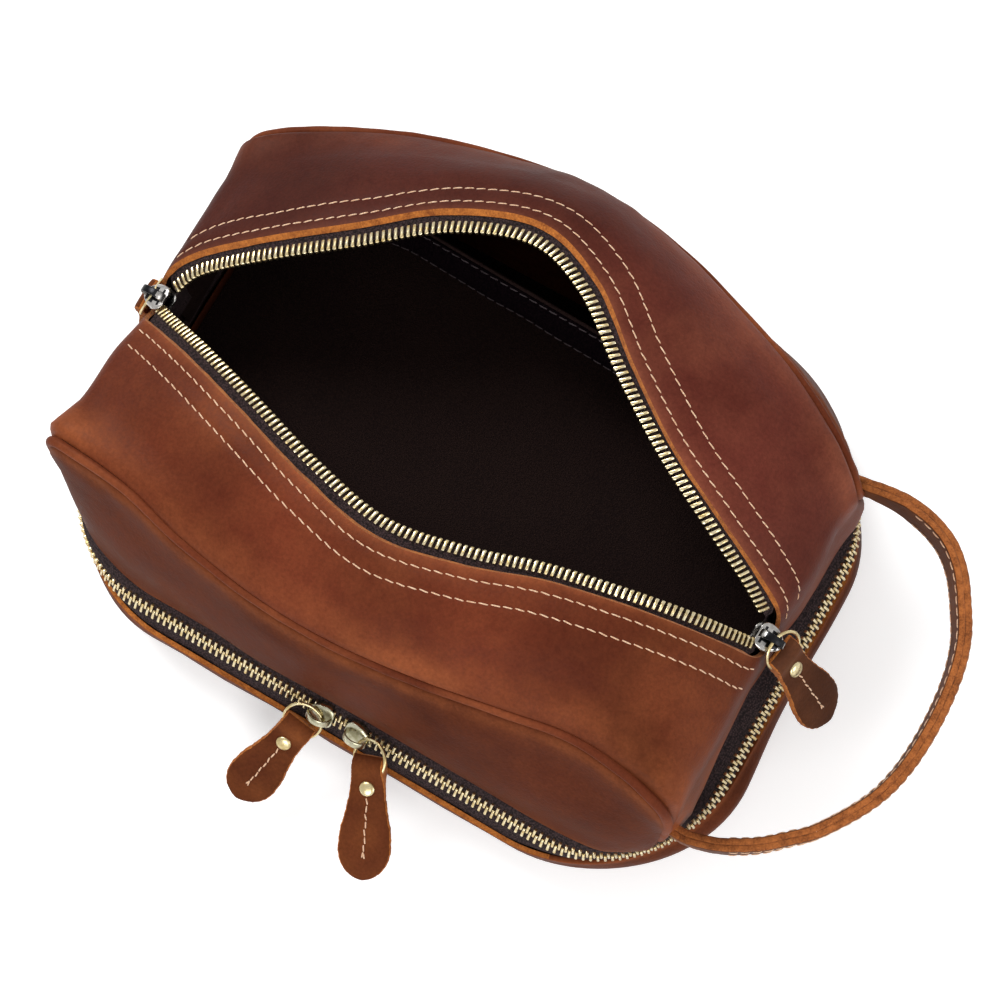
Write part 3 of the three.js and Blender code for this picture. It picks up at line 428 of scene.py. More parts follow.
def metal(name, dark, light, rough=0.26, scale=420):
    m = Nodes(name)
    tarnish = m.remap(m.noise(scale, 4, 0.62), 0.34, 0.66)
    base = m.mix(tarnish, linear(*dark), linear(*light))
    return m.finish(Base_Color=base, Metallic=1.0, Roughness=m.remap(tarnish, 0, 1, rough + 0.14, rough),
                    Normal=m.bump(m.noise(1700, 2, 0.5), 0.08, 0.0001))


def thread(name, dark, light):
    m = Nodes(name)
    strand = m.noise(2100, 2, 0.5)
    return m.finish(Base_Color=m.mix(m.remap(strand, 0.35, 0.65), linear(*dark), linear(*light)), Roughness=0.62,
                    Specular_IOR_Level=0.3, Sheen_Weight=0.2, Normal=m.bump(strand, 0.5, 0.0002))


FRONT_TOP = leather("front_top_leather", (82, 34, 20), (104, 47, 28), (148, 80, 46), spec=0.06)
BACK_TOP = leather("back_top_leather", (76, 32, 24), (94, 43, 34), (130, 72, 52), spec=0.06)
# Painted shade: a darker copy of the top leather for the walls, which face sideways, and for the boards kept at the end
SHADED_SIDE_LEATHER = leather("shaded_side_leather", (70, 32, 20), (86, 42, 28), (130, 72, 42), rough=0.4, spec=0.012)
WELT = leather("piping_leather", (84, 38, 23), (108, 52, 32), (140, 76, 46), spec=0.03)
TRAY = leather("tray_leather", (66, 31, 18), (90, 45, 27), (140, 76, 42), rough=0.42, spec=0.02)
PULL = leather("pull_leather", (72, 34, 18), (93, 47, 27), (128, 72, 38), rough=0.5, spec=0.02)
DARKPULL = leather("dark_pull_leather", (58, 31, 19), (78, 44, 28), (112, 66, 40), rough=0.5, spec=0.06)
STRAP = leather("strap_leather", (64, 32, 19), (96, 54, 33), (140, 86, 52), rough=0.5, spec=0.06)
FLESH = leather("inner_leather", (44, 24, 17), (58, 33, 22), (80, 48, 30), rough=0.75, spec=0.05)
RAW = suede("raw_edge", (128, 66, 22), (194, 116, 48))
CUT = suede("strap_edge", (112, 58, 22), (178, 104, 50), bumpy=0.45)
TAPE = pebbled("zip_tape_cloth", (24, 15, 16), (78, 60, 61))
LINING = pebbled("lining_cloth_black", (25, 14, 13), (46, 31, 27), 0.6, 0.08)
BAND = pebbled("pocket_band_cloth", (5, 2, 4), (20, 11, 14), 0.9, 0.02)
TEETH = metal("zip_teeth_brass", (214, 186, 124), (252, 240, 204), 0.22, 700)
BRASS = metal("pale_brass", (206, 182, 124), (244, 230, 184), 0.24, 300)
SLIDER = metal("slider_metal", (156, 150, 118), (222, 218, 192), 0.2, 260)
# Chrome for the top sliders' edges: a painted highlight on their black nickel body
EDGE_HIGHLIGHT_CHROME = metal("chrome_for_edge_highlights", (150, 148, 146), (226, 222, 216), 0.18, 260)
BLACK = metal("black_nickel", (18, 18, 20), (52, 52, 54), 0.24, 260)
DARKTHREAD = thread("dark_thread", (36, 25, 28), (60, 46, 50))
THREAD = thread("cream_thread", (206, 154, 116), (240, 208, 176))


# Camera, light and floor

# Solved from the photograph: degrees, focal length over sensor width, metres
CAMERA_TURN, CAMERA_RISE, CAMERA_ROLL = 50.5, 77.0, -20.5
CAMERA_FOCAL, SENSOR = 2.2934, 36
CAMERA_TARGET, CAMERA_DISTANCE = (0.0131, 0.0019, 0.05), 0.796
# Each lamp: name, place, target, size and power
LAMPS = [("key", (-0.95, 0.45, 1.35), (0, 0, 0.05), 0.9, 16.0), ("fill", (0.5, -1.3, 1.0), (0, 0, 0.05), 1.0, 9.0),
         ("side", (1.5, -0.1, 0.75), (0.1, 0, 0.05), 0.8, 4.5)]
FLOOR_HALF, FLOOR_DROP = 6.0, 0.0003


def make_camera():
    turn, rise, roll = (math.radians(x) for x in (CAMERA_TURN, CAMERA_RISE, CAMERA_ROLL))
    back = Vector((math.sin(turn) * math.cos(rise), -math.cos(turn) * math.cos(rise), math.sin(rise)))
    right = (-back).cross(Vector((0, 0, 1))).normalized()
    up = right.cross(-back)
    x = math.cos(roll) * right + math.sin(roll) * up
    y = -math.sin(roll) * right + math.cos(roll) * up
    camera = bpy.data.objects.new("camera", bpy.data.cameras.new("camera"))
    camera.data.sensor_width = SENSOR
    camera.data.lens = CAMERA_FOCAL * SENSOR
    camera.data.clip_start, camera.data.clip_end = 0.01, 20
    place = Vector(CAMERA_TARGET) + back * CAMERA_DISTANCE
    camera.matrix_world = Matrix.Translation(place) @ Matrix((x, y, back)).transposed().to_4x4()
    scene.collection.objects.link(camera)
    scene.camera = camera


def area(name, place, target, size, power):
    light = bpy.data.lights.new(name, "AREA")
    light.shape, light.size, light.energy = "DISK", size, power
    lamp = bpy.data.objects.new(name, light)
    lamp.location = place
    lamp.rotation_mode = "QUATERNION"
    lamp.rotation_quaternion = (Vector(target) - Vector(place)).to_track_quat("-Z", "Y")
    scene.collection.objects.link(lamp)


def make_studio():
    scene.view_settings.view_transform = "Standard"
    for lamp in LAMPS:
        area(*lamp)
    world = bpy.data.worlds.new("studio")
    world.use_nodes = True
    w = Nodes("studio", world.node_tree)
    ray = w.node("ShaderNodeLightPath").outputs
    height = w.node("ShaderNodeSeparateXYZ", Vector=w.place("Generated")).outputs[2]
    soft = w.remap(height, 0.04, 0.62, 0.95, 0.5)
    shiny = w.remap(height, 0.02, 0.5, 0.75, 0.6)
    level = w.math("ADD", soft, w.math("MULTIPLY", ray["Is Glossy Ray"], w.math("SUBTRACT", shiny, soft)))
    level = w.math("MAXIMUM", level, ray["Is Camera Ray"])
    background = world.node_tree.nodes["Background"].inputs
    w.plug(background["Color"], (1, 1, 1, 1))
    w.plug(background["Strength"], level)
    scene.world = world
    m = Nodes("studio_floor")
    far = m.node("ShaderNodeVectorMath", operation="LENGTH", Vector=m.place()).outputs["Value"]
    seen = m.math("MULTIPLY", m.node("ShaderNodeLightPath").outputs["Is Camera Ray"],
                  m.remap(far, 0.5, 2.0, 0.36, 1.0))
    m.finish(Base_Color=m.mix(m.remap(m.noise(3.0), 0.3, 0.7), (0.94, 0.94, 0.94, 1), (0.96, 0.96, 0.96, 1)),
             Roughness=0.9, Specular_IOR_Level=0.1, Emission_Color=(1, 1, 1, 1), Emission_Strength=seen)
    mesh = bpy.data.meshes.new("floor")
    corners = [(x * FLOOR_HALF, y * FLOOR_HALF, -FLOOR_DROP) for x, y in ((-1, -1), (1, -1), (1, 1), (-1, 1))]
    mesh.from_pydata(corners, [], [(0, 1, 2, 3)])
    mesh.materials.append(m.material)
    floor = bpy.data.objects.new("floor", mesh)
    scene.collection.objects.link(floor)


make_camera()
make_studio()


# The main bag's leather

def mouth_edge(mouth, side):
    way = np.vstack([mouth[1:], mouth[-1:]]) - np.vstack([mouth[:1], mouth[:-1]])
    inset = np.interp(mouth[:, 0], [0, 60, 118], [EDGE_INSET, 3.9, 4.4])
    out = unit(np.stack([-way[:, 1], way[:, 0], 0 * way[:, 0]], 1)) * side * inset[:, None]
    offset = mouth + out + [0, 0, EDGE_LIFT]
    ends = [bag_points([[end * 0.9975, side * 0.002, z]])[0]
            for end, z in ((-1, 0.10), (-1, 0.42), (1, 0.42), (1, 0.10))]
    return np.vstack([ends[:2], offset, ends[2:]])


# The lower right corner at the back is drawn in: where, how far round, how deep and which way
CORNER_AT, CORNER_REACH, CORNER_DEPTH, CORNER_WAY = (126, 86), 31, 5.4, np.array([0.75, 0.66, 0])


def tucked(points):
    """Moves the lower right corner at the back inward, under the leather above it."""
    points = np.array(points, float)
    apart = (points[..., 0] - CORNER_AT[0]) ** 2 + (points[..., 1] - CORNER_AT[1]) ** 2
    z = points[..., 2]
    move = CORNER_DEPTH * np.exp(-apart / CORNER_REACH**2) * smooth(z, 1, 9) * (1 - smooth(z, 48, 66))
    return points - move[..., None] * CORNER_WAY


MOUTH = {"front": curve(bag_points(FRONT_MOUTH)), "back": curve(bag_points(BACK_MOUTH))}
EDGE = {"front": curve(mouth_edge(bag_points(FRONT_MOUTH), -1)), "back": curve(mouth_edge(bag_points(BACK_MOUTH), 1))}
WELT_LINE = {"front": curve(bag_points(FRONT_PIPING)), "back": curve(bag_points(BACK_PIPING))}


def back_seam():
    points = bag_points(BACK_SEAM)
    hinge = np.stack([points[:, 0], np.full(16, HINGE_OUT), np.full(16, HINGE_HEIGHT + HINGE_ROLL + 0.3)], 1)
    drop = np.array(HINGE_DROP)[:, None]
    return points * (1 - drop) + hinge * drop


SEAM = {"front": curve(bag_points(FRONT_SEAM)), "back": curve(back_seam())}
SIGN = {"front": -1, "back": 1}


def stretched(piping, edge, arch, t):
    """Rows of points from the piping's middle to another line, with their distances from it."""
    a, b = piping(t), edge(t)
    span = b - a
    along = piping(t + 1e-4) - piping(t - 1e-4)
    out = unit(np.cross(span, along))
    middle = (a + b) / 2
    out = out * np.where(np.sum(out * (middle - CENTRE), axis=1) < 0, -1, 1)[:, None]
    control = middle + out * (2 * arch * np.sin(math.pi * t) ** 2 * np.linalg.norm(span, axis=1))[:, None]
    w = np.linspace(0, 1, 90)[None, :, None]
    rows = (1 - w) ** 2 * a[:, None] + 2 * w * (1 - w) * control[:, None] + w**2 * b[:, None]
    steps = np.linalg.norm(np.diff(rows, axis=1), axis=2)
    return rows, np.concatenate([np.zeros((len(t), 1)), np.cumsum(steps, axis=1)], 1)


def read_rows(rows, far, places):
    return np.stack([pick([row], f, s)[0] for row, f, s in zip(rows, far, places)])


NEAR = np.array([1.2, 1.75, 2.1, 2.6, 3.4, 5.0, 8.0, 12.0, 17.0])
PUFF = np.array([0.1, 0.62, 0.88, 1.1, 1.25, 1.25, 0.95, 0.45, 0.0])
MARGIN = np.array([0, 0.35, 0.9, 2.0, 3.0, 3.6, 4.0, 4.4, 5.0, 7.0, 9.0, 10.5, 11.0, 11.5, 13.0])
FLARE_AT = [0, 0.06, 0.17, 0.3, 0.48, 0.82, 1]
FLARE = [0, 2.6, 4.4, 3.8, 2.4, 0.4, 0.2]
CORNERS = {"front": bag_points([[-0.96, -0.70, 0.78], [0.95, -0.74, 0.78]]),
           "back": bag_points([[-0.95, 0.80, 0.60], [0.92, 0.80, 0.58]])}
STITCHED = {"front": (0.150, 0.881), "back": (0.145, 0.897)}
# How much darker or lighter the top leather is coloured along the bag's length
LENGTH_TONE = {"front": ([-110, -98, -60, -38, 3, 43, 83, 108, 122], [-0.05, -0.25, -0.2, 0.4, -0.1, 0.15, -0.3, -0.75, 0.1]),
       "back": ([-110, -50, 0, 30, 60, 90, 112], [-0.8, -0.6, -0.65, -0.1, 0.4, 0.5, 0.0])}
ROWS = {}


def lips(grid, out, ends):
    """Rows added past one or both ends, rolled inward to make a turned edge."""
    roll = [(0.9, 0.08), (1.7, 0.45), (2.2, 1.1), (2.35, 2.1)]
    for end in ends:
        last, before = (grid[0], grid[2]) if end == 0 else (grid[-1], grid[-3])
        way, n = unit(last - before), out[0] if end == 0 else out[-1]
        more = np.stack([last + way * ahead - n * under for ahead, under in roll])
        grid = np.concatenate([more[::-1], grid]) if end == 0 else np.concatenate([grid, more])
    return grid


def bury(piece, line):
    """Gives the cut edges that lie under the piping or behind the ledge the lining's colour."""
    near = line(np.linspace(0, 1, 400)) * MM
    for face in piece.data.polygons:
        close = np.min(np.linalg.norm(near - np.array(face.center), axis=1)) < 3.2 * MM
        if face.material_index == 2 and (close or face.center.z < 52 * MM):
            face.material_index = 1


def gusset(side):
    """The top strip and both end faces, from the piping up to the mouth's cut edge."""
    t = even(WELT_LINE[side], 300)
    rows, far = stretched(WELT_LINE[side], EDGE[side], 0.15, t)
    total = far[:, -1]
    shrink = np.minimum(1, total / 34)
    margin = MARGIN[::-1] * shrink[:, None]
    near = NEAR * shrink[:, None]
    fill = np.linspace(0, 1, 18)[1:-1]
    between = near[:, -1:] + (total[:, None] - margin[:, :1] - near[:, -1:]) * fill
    s = np.concatenate([near, between, total[:, None] - margin], 1)
    grid = read_rows(rows, far, s)
    n = normals_of(grid)
    from_edge = total[:, None] - s
    on_top = smooth(t, 0.125, 0.16) * (1 - smooth(t, 0.84, 0.875))
    groove = on_top[:, None] * sum(np.exp(-((from_edge - d) / 0.55) ** 2) for d in (4.0, 11.0)) * 0.24
    puff = np.interp(s, NEAR, PUFF) * (1 + 0.3 * on_top[:, None] * (0.5 + 0.5 * ripple(grid, 70, 15)))
    for corner in CORNERS[side]:
        puff = puff + 2.3 * np.exp(-np.sum((grid - corner) ** 2, axis=2) / 13**2) * smooth(s, 1.4, 5)
    pucker = np.exp(-np.maximum(s - 3, 0) / 9) * ripple(grid, 13, 5) * 0.26 * smooth(s, 2.4, 5)
    soft = ripple(grid, 62, 3) * 0.8 * smooth(s, 4, 22) * smooth(from_edge, 3, 22)
    wavy = ripple(grid, 24, 4) * 0.15 * smooth(s, 4, 14) * smooth(from_edge, 2, 12)
    grid = grid + n * (puff + pucker + soft + wavy - groove)[..., None]
    share = s / total[:, None]
    flare = np.interp(share, FLARE_AT, FLARE)
    low = np.stack([1 - smooth(t, 0, 0.085), 1 - smooth(1 - t, 0, 0.085)])
    grid[..., 0] += flare * (low[1] - 0.6 * low[0])[:, None]
    grid[..., 2] -= 2.0 * smooth(share, 0, 0.1) * (1 - smooth(np.minimum(t, 1 - t), 0, 0.05))[:, None]
    glow = 0.7 * np.exp(-((s - 6.5) / 6.5) ** 2) * (0.55 + 0.45 * ripple(grid, 48, 8))
    glow = glow + 0.75 * np.exp(-from_edge / 2.4) * on_top[:, None]
    glow = glow + 0.4 * np.exp(-(np.minimum(t, 1 - t)[:, None] * 12) ** 2)
    glow = glow + 0.35 * smooth(ripple(grid, 70, 18), 0.2, 1.2)
    for corner in CORNERS[side]:
        glow = glow + 0.45 * np.exp(-np.sum((grid - corner) ** 2, axis=2) / 13**2)
    wear = np.clip(glow, 0, 1)
    count = len(t)
    grid = lips(grid, normals_of(grid), (0, 1))
    wear = np.concatenate([np.repeat(wear[:1], 4, 0), wear, np.repeat(wear[-1:], 4, 0)])
    out = normals_of(grid)
    inner = grid - out * LEATHER
    edge_way = unit(grid[:, -1] - grid[:, -3])
    skive = np.concatenate([np.zeros(4), on_top, np.zeros(4)])[:, None]
    fuzz = 1 + 0.06 * ripple(grid[:, -1], 9, 9)[:, None]
    reach = np.interp(grid[:, -1, 0], [-30, 40], [1.6, 0.8] if side == "back" else [1.3, 1.0])[:, None]
    inner[:, -1] = grid[:, -1] - out[:, -1] * (LEATHER + 0.25 * skive) + edge_way * reach * skive * fuzz
    inner[:, -2] = grid[:, -2] - out[:, -2] * (LEATHER + 0.2 * skive) + edge_way * 0.5 * reach * skive
    material = FRONT_TOP if side == "front" else BACK_TOP
    dye = np.interp(grid[..., 0] + 9 * ripple(grid, 60, 77), *LENGTH_TONE[side]) + 0.12 * ripple(grid, 45, 78)
    dye = np.concatenate([dye.ravel(), np.zeros(dye.size)])
    piece = sheet(f"{side}_top_leather", grid, inner, [material, LINING, RAW], "bag", wear, dye=dye,
          replaces=[f"{side}_gusset"], slot="leather")
    bury(piece, WELT_LINE[side])
    ROWS[side] = (t, grid[4:4 + count], out[4:4 + count], inner[4:4 + count])
    low_t, high_t = STITCHED[side]
    for column, tag, extra in ((-7, "inner", 0.0), (-13, "outer", 0.006)):
        flag = (t > low_t + extra) & (t < high_t - extra)
        line, up = (part[4:4 + count][flag][:, column] for part in (grid, out))
        stitches(f"{side}_{tag}_stitches", line, up, THREAD, "bag", slant=0.12 * SIGN[side])


def panel(side):
    """The front or back wall, from the piping down to its lower edge, turned under on the front."""
    t = even(WELT_LINE[side], 260)[3:-3]
    arch = 0.1 if side == "front" else 0.03 + 0.09 * smooth(t, 0.58, 0.72) * (1 - smooth(t, 0.85, 0.94))
    rows, far = stretched(WELT_LINE[side], SEAM[side], arch, t)
    total = far[:, -1]
    shrink = np.minimum(1, total / 28)
    near = NEAR * shrink[:, None]
    ends = np.array([5.0, 3.2, 1.8, 0.8, 0.0]) * shrink[:, None]
    fill = np.linspace(0, 1, 14)[1:-1]
    between = near[:, -1:] + (total[:, None] - ends[:, :1] - near[:, -1:]) * fill
    s = np.concatenate([near, between, total[:, None] - ends], 1)
    grid = read_rows(rows, far, s)
    n = normals_of(grid)
    puff = np.interp(s, NEAR, PUFF) * shrink[:, None]
    soft = ripple(grid, 58, 11) * 0.7 * smooth(s, 4, 16) * smooth(total[:, None] - s, 1, 12)
    pucker = np.exp(-np.maximum(s - 3, 0) / 8) * ripple(grid, 12, 12) * 0.25 * smooth(s, 2.4, 5)
    grid = grid + n * (puff + (soft + pucker) * shrink[:, None])[..., None]
    share = s / total[:, None]
    if side == "front":
        flat = unit(n * [1, 1, 0])
        reach = 3.0 * smooth(grid[..., 0], -113, -78)
        grid = grid + flat * (reach * smooth(share, 0.35, 1.0) * shrink[:, None])[..., None]
        grid[..., 2] -= 0.9 * smooth(share, 0.6, 1.0) * shrink[:, None]
    else:
        grid = tucked(grid)
    wear = np.clip(0.6 * np.exp(-((s - 4) / 3.5) ** 2) + 0.6 * np.exp(-(total[:, None] - s) / 2.2), 0, 1)
    out = normals_of(grid)
    turned = lips(np.swapaxes(grid, 0, 1), np.swapaxes(out, 0, 1), (1,) if side == "front" else ())
    grid = np.swapaxes(turned, 0, 1)
    wear = np.concatenate([wear, np.repeat(wear[:, -1:], grid.shape[1] - wear.shape[1], 1)], 1)
    out = normals_of(grid)
    # The wall takes the darker leather: painted shade for its sideways face
    piece = sheet(f"{side}_wall_leather", grid, grid - out * LEATHER, [SHADED_SIDE_LEATHER, LINING, RAW], "bag", wear,
                  replaces=[f"{side}_panel"], slot="leather_dark")
    bury(piece, WELT_LINE[side])
    ROWS[side + "_wall"] = (t, grid, out, total)


def piping(side):
    t = even(WELT_LINE[side], 420)
    line = WELT_LINE[side](t)
    start, stop = unit(line[0] - line[2]), unit(line[-1] - line[-3])
    line = np.vstack([line[0] + start * 1.6, line, line[-1] + stop * 1.6])
    radius = np.full(len(line), 1.8)
    radius[[0, -1]] = 1.2
    away = unit(line - CENTRE)
    _, a, b = frames_along(line, away)
    angle = np.arange(16) * 2 * math.pi / 16
    ring = a[:, None] * np.cos(angle)[None, :, None] + b[:, None] * np.sin(angle)[None, :, None]
    rings = line[:, None] + ring * radius[:, None, None]
    rings = rings + ring * (0.08 * ripple(rings, 11, 21))[..., None]
    verts, faces = loft(rings)
    wear = 0.25 + 0.45 * np.repeat(ripple(line, 40, 22)[:, None], 16, 1) * (np.cos(angle) > 0)
    marks = [1 if len(f) == 4 and math.cos((min(x % 16 for x in f) + 0.5) * math.pi / 8) < -0.25 else 0 for f in faces]
    make(f"{side}_welt", verts, faces, [WELT, LINING], "bag", marks=marks, replaces=[f"{side}_piping"],
         slot="leather_dark", wear=np.clip(wear, 0, 1).ravel())


for side in ("front", "back"):
    gusset(side)
    panel(side)
    piping(side)


# Mouth zip

PITCH, CHAIN_PITCH = 2.1, 2.45


def mouth_zip(side):
    sign = SIGN[side]
    t = np.linspace(0.012, 0.988, 1500)
    line = MOUTH[side](t)
    where = lengths(line)
    spots = np.arange(0.5, where[-1] / PITCH - 0.5) * PITCH
    tan = unit(np.gradient(line, axis=0))
    out = unit(np.stack([-tan[:, 1], tan[:, 0], 0 * tan[:, 0]], 1)) * sign
    at, along, across = pick([line, tan, out], where, spots)
    along = unit(along)
    up = unit(np.cross(across, along)) * -sign
    lean = 0.16 * sign
    across = unit(across + along * lean)
    scatter(f"{side}_mouth_zip_teeth", tooth_shape(1.9, 2.2, 1.36, 2.5), at, np.stack([across, along, up], 1), TEETH,
            "bag", replaces=[f"{side}_mouth_teeth"], slot="zip_brass")
    rows_t, _, normal, inner = ROWS[side]
    tm = (rows_t * 15 - 2) / 11
    use = (tm > 0.004) & (tm < 0.996)
    m = MOUTH[side](tm[use])
    tan = unit(np.gradient(m, axis=0))
    out = unit(np.stack([-tan[:, 1], tan[:, 0], 0 * tan[:, 0]], 1)) * sign
    under = inner[use][:, -1] - normal[use][:, -1] * 0.35
    hidden = inner[use][:, -5] - normal[use][:, -5] * 0.35
    start, legs = m - out * 0.3, m + out * 2.2
    mid = legs * 0.5 + under * 0.5 - [0, 0, 0.3]
    rows = np.stack([start, m + out * 1.0, legs, mid, under, hidden], 1)
    up = normals_of(rows, centre=np.array([0, 0, -400.0]))
    sheet(f"{side}_mouth_zip_tape", rows, rows - up * 0.6, [TAPE, TAPE, TAPE], "bag",
          replaces=[f"{side}_mouth_tape"], slot="zip_tape")


for side in ("front", "back"):
    mouth_zip(side)


# Lower zip and tray

def loop(end_outset, side_outset, corner, height, steps=26, straight=16):
    a, b = HALF_LENGTH + end_outset - corner, HALF_WIDTH + side_outset - corner
    points = []
    for k, (x, y) in enumerate(((a, b), (a, -b), (-a, -b), (-a, b))):
        angle = math.pi / 2 * (1 - k - np.arange(steps + 1) / steps)
        arc = np.stack([x + corner * np.cos(angle), y + corner * np.sin(angle), np.full(steps + 1, height)], 1)
        points.append(arc)
    whole = []
    for k in range(4):
        whole.append(points[k])
        f = (np.arange(1, straight) / straight)[:, None]
        whole.append(points[k][-1] * (1 - f) + points[(k + 1) % 4][0] * f)
    return tucked(np.vstack(whole))


STEPS, STRAIGHT = 26, 16
ZIP = slice(10, 3 * (STEPS + STRAIGHT) + STEPS - 10 + 1)
CHAIN = loop(6.7, 7.2, 45, 36.5)[ZIP]
LEDGE_EDGE = loop(0, 0, 28, LEDGE - 0.9)[ZIP]
LEDGE_TUCK = loop(-2.1, -2.1, 25.9, LEDGE + 5)[ZIP]
TUCK = loop(7.55, 12.45, 58, TRAY_EDGE - 0.1)[ZIP]
TUCK_END = loop(7.2, 12.1, 58, TRAY_EDGE - 6)[ZIP]
CHAIN_SIDE = unit(np.gradient(CHAIN, axis=0))
SLANT = LEDGE_EDGE - TUCK
SLANT = unit(SLANT - np.sum(SLANT * CHAIN_SIDE, axis=1, keepdims=True) * CHAIN_SIDE)
CHAIN_UP = unit(np.cross(SLANT, CHAIN_SIDE))
CHAIN_UP = CHAIN_UP * np.where(np.sum(CHAIN_UP * CHAIN, axis=1) < 0, -1, 1)[:, None]


def lower_zip():
    where = lengths(CHAIN)
    count = int(where[-1] / CHAIN_PITCH)
    for name, sign, shift, body in (("body", 1, 0.0, "bag"), ("tray", -1, 0.5, "tray")):
        spots = (np.arange(count - 1) + 0.5 + shift) * CHAIN_PITCH
        at, slant, side, up = pick([CHAIN, SLANT, CHAIN_SIDE, CHAIN_UP], where, spots)
        axes = np.stack([unit(slant) * sign, unit(side), unit(up)], 1)
        axes[:, 1] *= np.where(np.linalg.det(axes) < 0, -1, 1)[:, None]
        scatter(f"{name}_zip_tooth_row", chain_tooth(), at, axes, TEETH, body,
                replaces=[f"{name}_zip_teeth"], slot="zip_brass")

    def beside(distance):
        return CHAIN + SLANT * distance

    sag = CHAIN_UP * 0.35
    upper, lower = (np.stack([beside(0.3 * k), beside(1.8 * k), beside(3.5 * k), (beside(3.5 * k) + edge) / 2 + sag,
                              edge, end], 1) for k, edge, end in ((1, LEDGE_EDGE, LEDGE_TUCK), (-1, TUCK, TUCK_END)))
    for name, rows, body in (("body", upper, "bag"), ("tray", lower, "tray")):
        up = normals_of(rows, centre=np.array([0, 0, 0.0]))
        rows = rows + up * (0.12 * ripple(rows, 17, 31))[..., None]
        sheet(f"{name}_zip_tape_cloth", rows, rows - up * 0.6, [TAPE, TAPE, TAPE], body,
              replaces=[f"{name}_zip_tape"], slot="zip_tape")


# The tray wall from its foot up: outset at the ends, outset at the sides, corner radius and height
TRAY_PROFILE = [
    [2.2, 7.4, 42, 0.25], [4.6, 9.6, 44.5, 0.9], [7.6, 11.8, 52, 3.0], [9.8, 13.2, 60, 6.6], [11.4, 14.5, 60, 13.0],
    [11.8, 14.8, 60, 19.0], [11.0, 14.7, 60, 25.0], [9.8, 14.6, 60, 28.8], [9.5, 14.4, 60, 29.45],
]
# The tray wall bulges at the right of the front: where, how far round and how far out
BULGE_AT, BULGE_REACH, BULGE_OUT = (122, -48), 27, 3.2


def tray():
    levels = curve(TRAY_PROFILE)(np.linspace(0, 1, 26))
    outer = np.stack([loop(*level) for level in levels], 1)
    middle = np.array([0, 0, 15.0])
    n = normals_of(outer, middle)
    high = outer[..., 2] / TRAY_EDGE
    waves = ripple(outer, 58, 41) * 0.55 * smooth(high, 0.05, 0.5) * (1 - smooth(high, 0.85, 1))
    outer = outer + n * waves[..., None]
    apart = (outer[..., 0] - BULGE_AT[0]) ** 2 + (outer[..., 1] - BULGE_AT[1]) ** 2
    bulge = BULGE_OUT * np.exp(-apart / BULGE_REACH**2) * smooth(high, 0.06, 0.4) * (1 - smooth(high, 0.75, 1))
    outer = outer + n * bulge[..., None]
    outer[..., 2] += ripple(outer, 44, 42) * 0.25 * smooth(high, 0.7, 1)
    n = normals_of(outer, middle)
    inner = outer - n * 2.0
    inner[..., 2] = np.maximum(inner[..., 2], 0.5)
    inner[:, -1, 2] = outer[:, -1, 2] + 0.12 * ripple(outer[:, -1], 4, 44)
    wear = np.clip(0.7 * smooth(high, 0.9, 1.0) + 0.3 * smooth(0.25 - high, 0, 0.25), 0, 1)
    wall = sheet("tray_wall_leather", outer, inner, [TRAY, FLESH, RAW], "tray", wear, closed=True,
                 replaces=["tray_wall"], slot="leather")
    for face in wall.data.polygons:
        if face.material_index == 2 and face.center.x > 0.088 and face.center.y < -0.025:
            face.material_index = 0


lower_zip()
tray()


# Linings: cloth inside the leather

def cloth(name, rows, body, replaced, material=LINING, thickness=0.5, centre=CENTRE, closed=False, rough=0.5):
    up = normals_of(rows, centre)
    rows = rows + up * (rough * ripple(rows, 30, len(name)))[..., None]
    sheet(name, rows, rows - up * thickness, [material] * 3, body, closed=closed, replaces=[replaced],
          slot="lining_cloth")


def linings():
    for side in ("front", "back"):
        _, grid, out, _ = ROWS[side]
        cloth(f"{side}_top_lining_cloth", (grid - out * (LEATHER + 1.0))[4:-4, 6:-4], "bag", f"{side}_gusset_lining")
        _, grid, out, total = ROWS[side + "_wall"]
        use = total > 12
        cloth(f"{side}_wall_lining_cloth", (grid - out * (LEATHER + 1.0))[use][:, 5:-6], "bag", f"{side}_lining")


def seam_cover(side):
    """A strip of lining that bridges the two linings behind the piping."""
    t, grid, out, _ = ROWS[side]
    wall_t, wall, wall_out, _ = ROWS[side + "_wall"]
    use = (t > wall_t[0]) & (t < wall_t[-1])
    above = (grid - out * (LEATHER + 1.2))[use][:, 5]
    below, = pick([(wall - wall_out * (LEATHER + 1.2))[:, 5]], wall_t, t[use])
    inward = unit(CENTRE - above)
    rows = np.stack([above, above * 0.7 + below * 0.3 + inward * 1.6, above * 0.3 + below * 0.7 + inward * 1.6,
                     below], 1)
    face = normals_of(rows)
    sheet(f"{side}_seam_cloth", rows, rows - face * 0.5, [LINING] * 3, "bag", slot="lining_cloth")


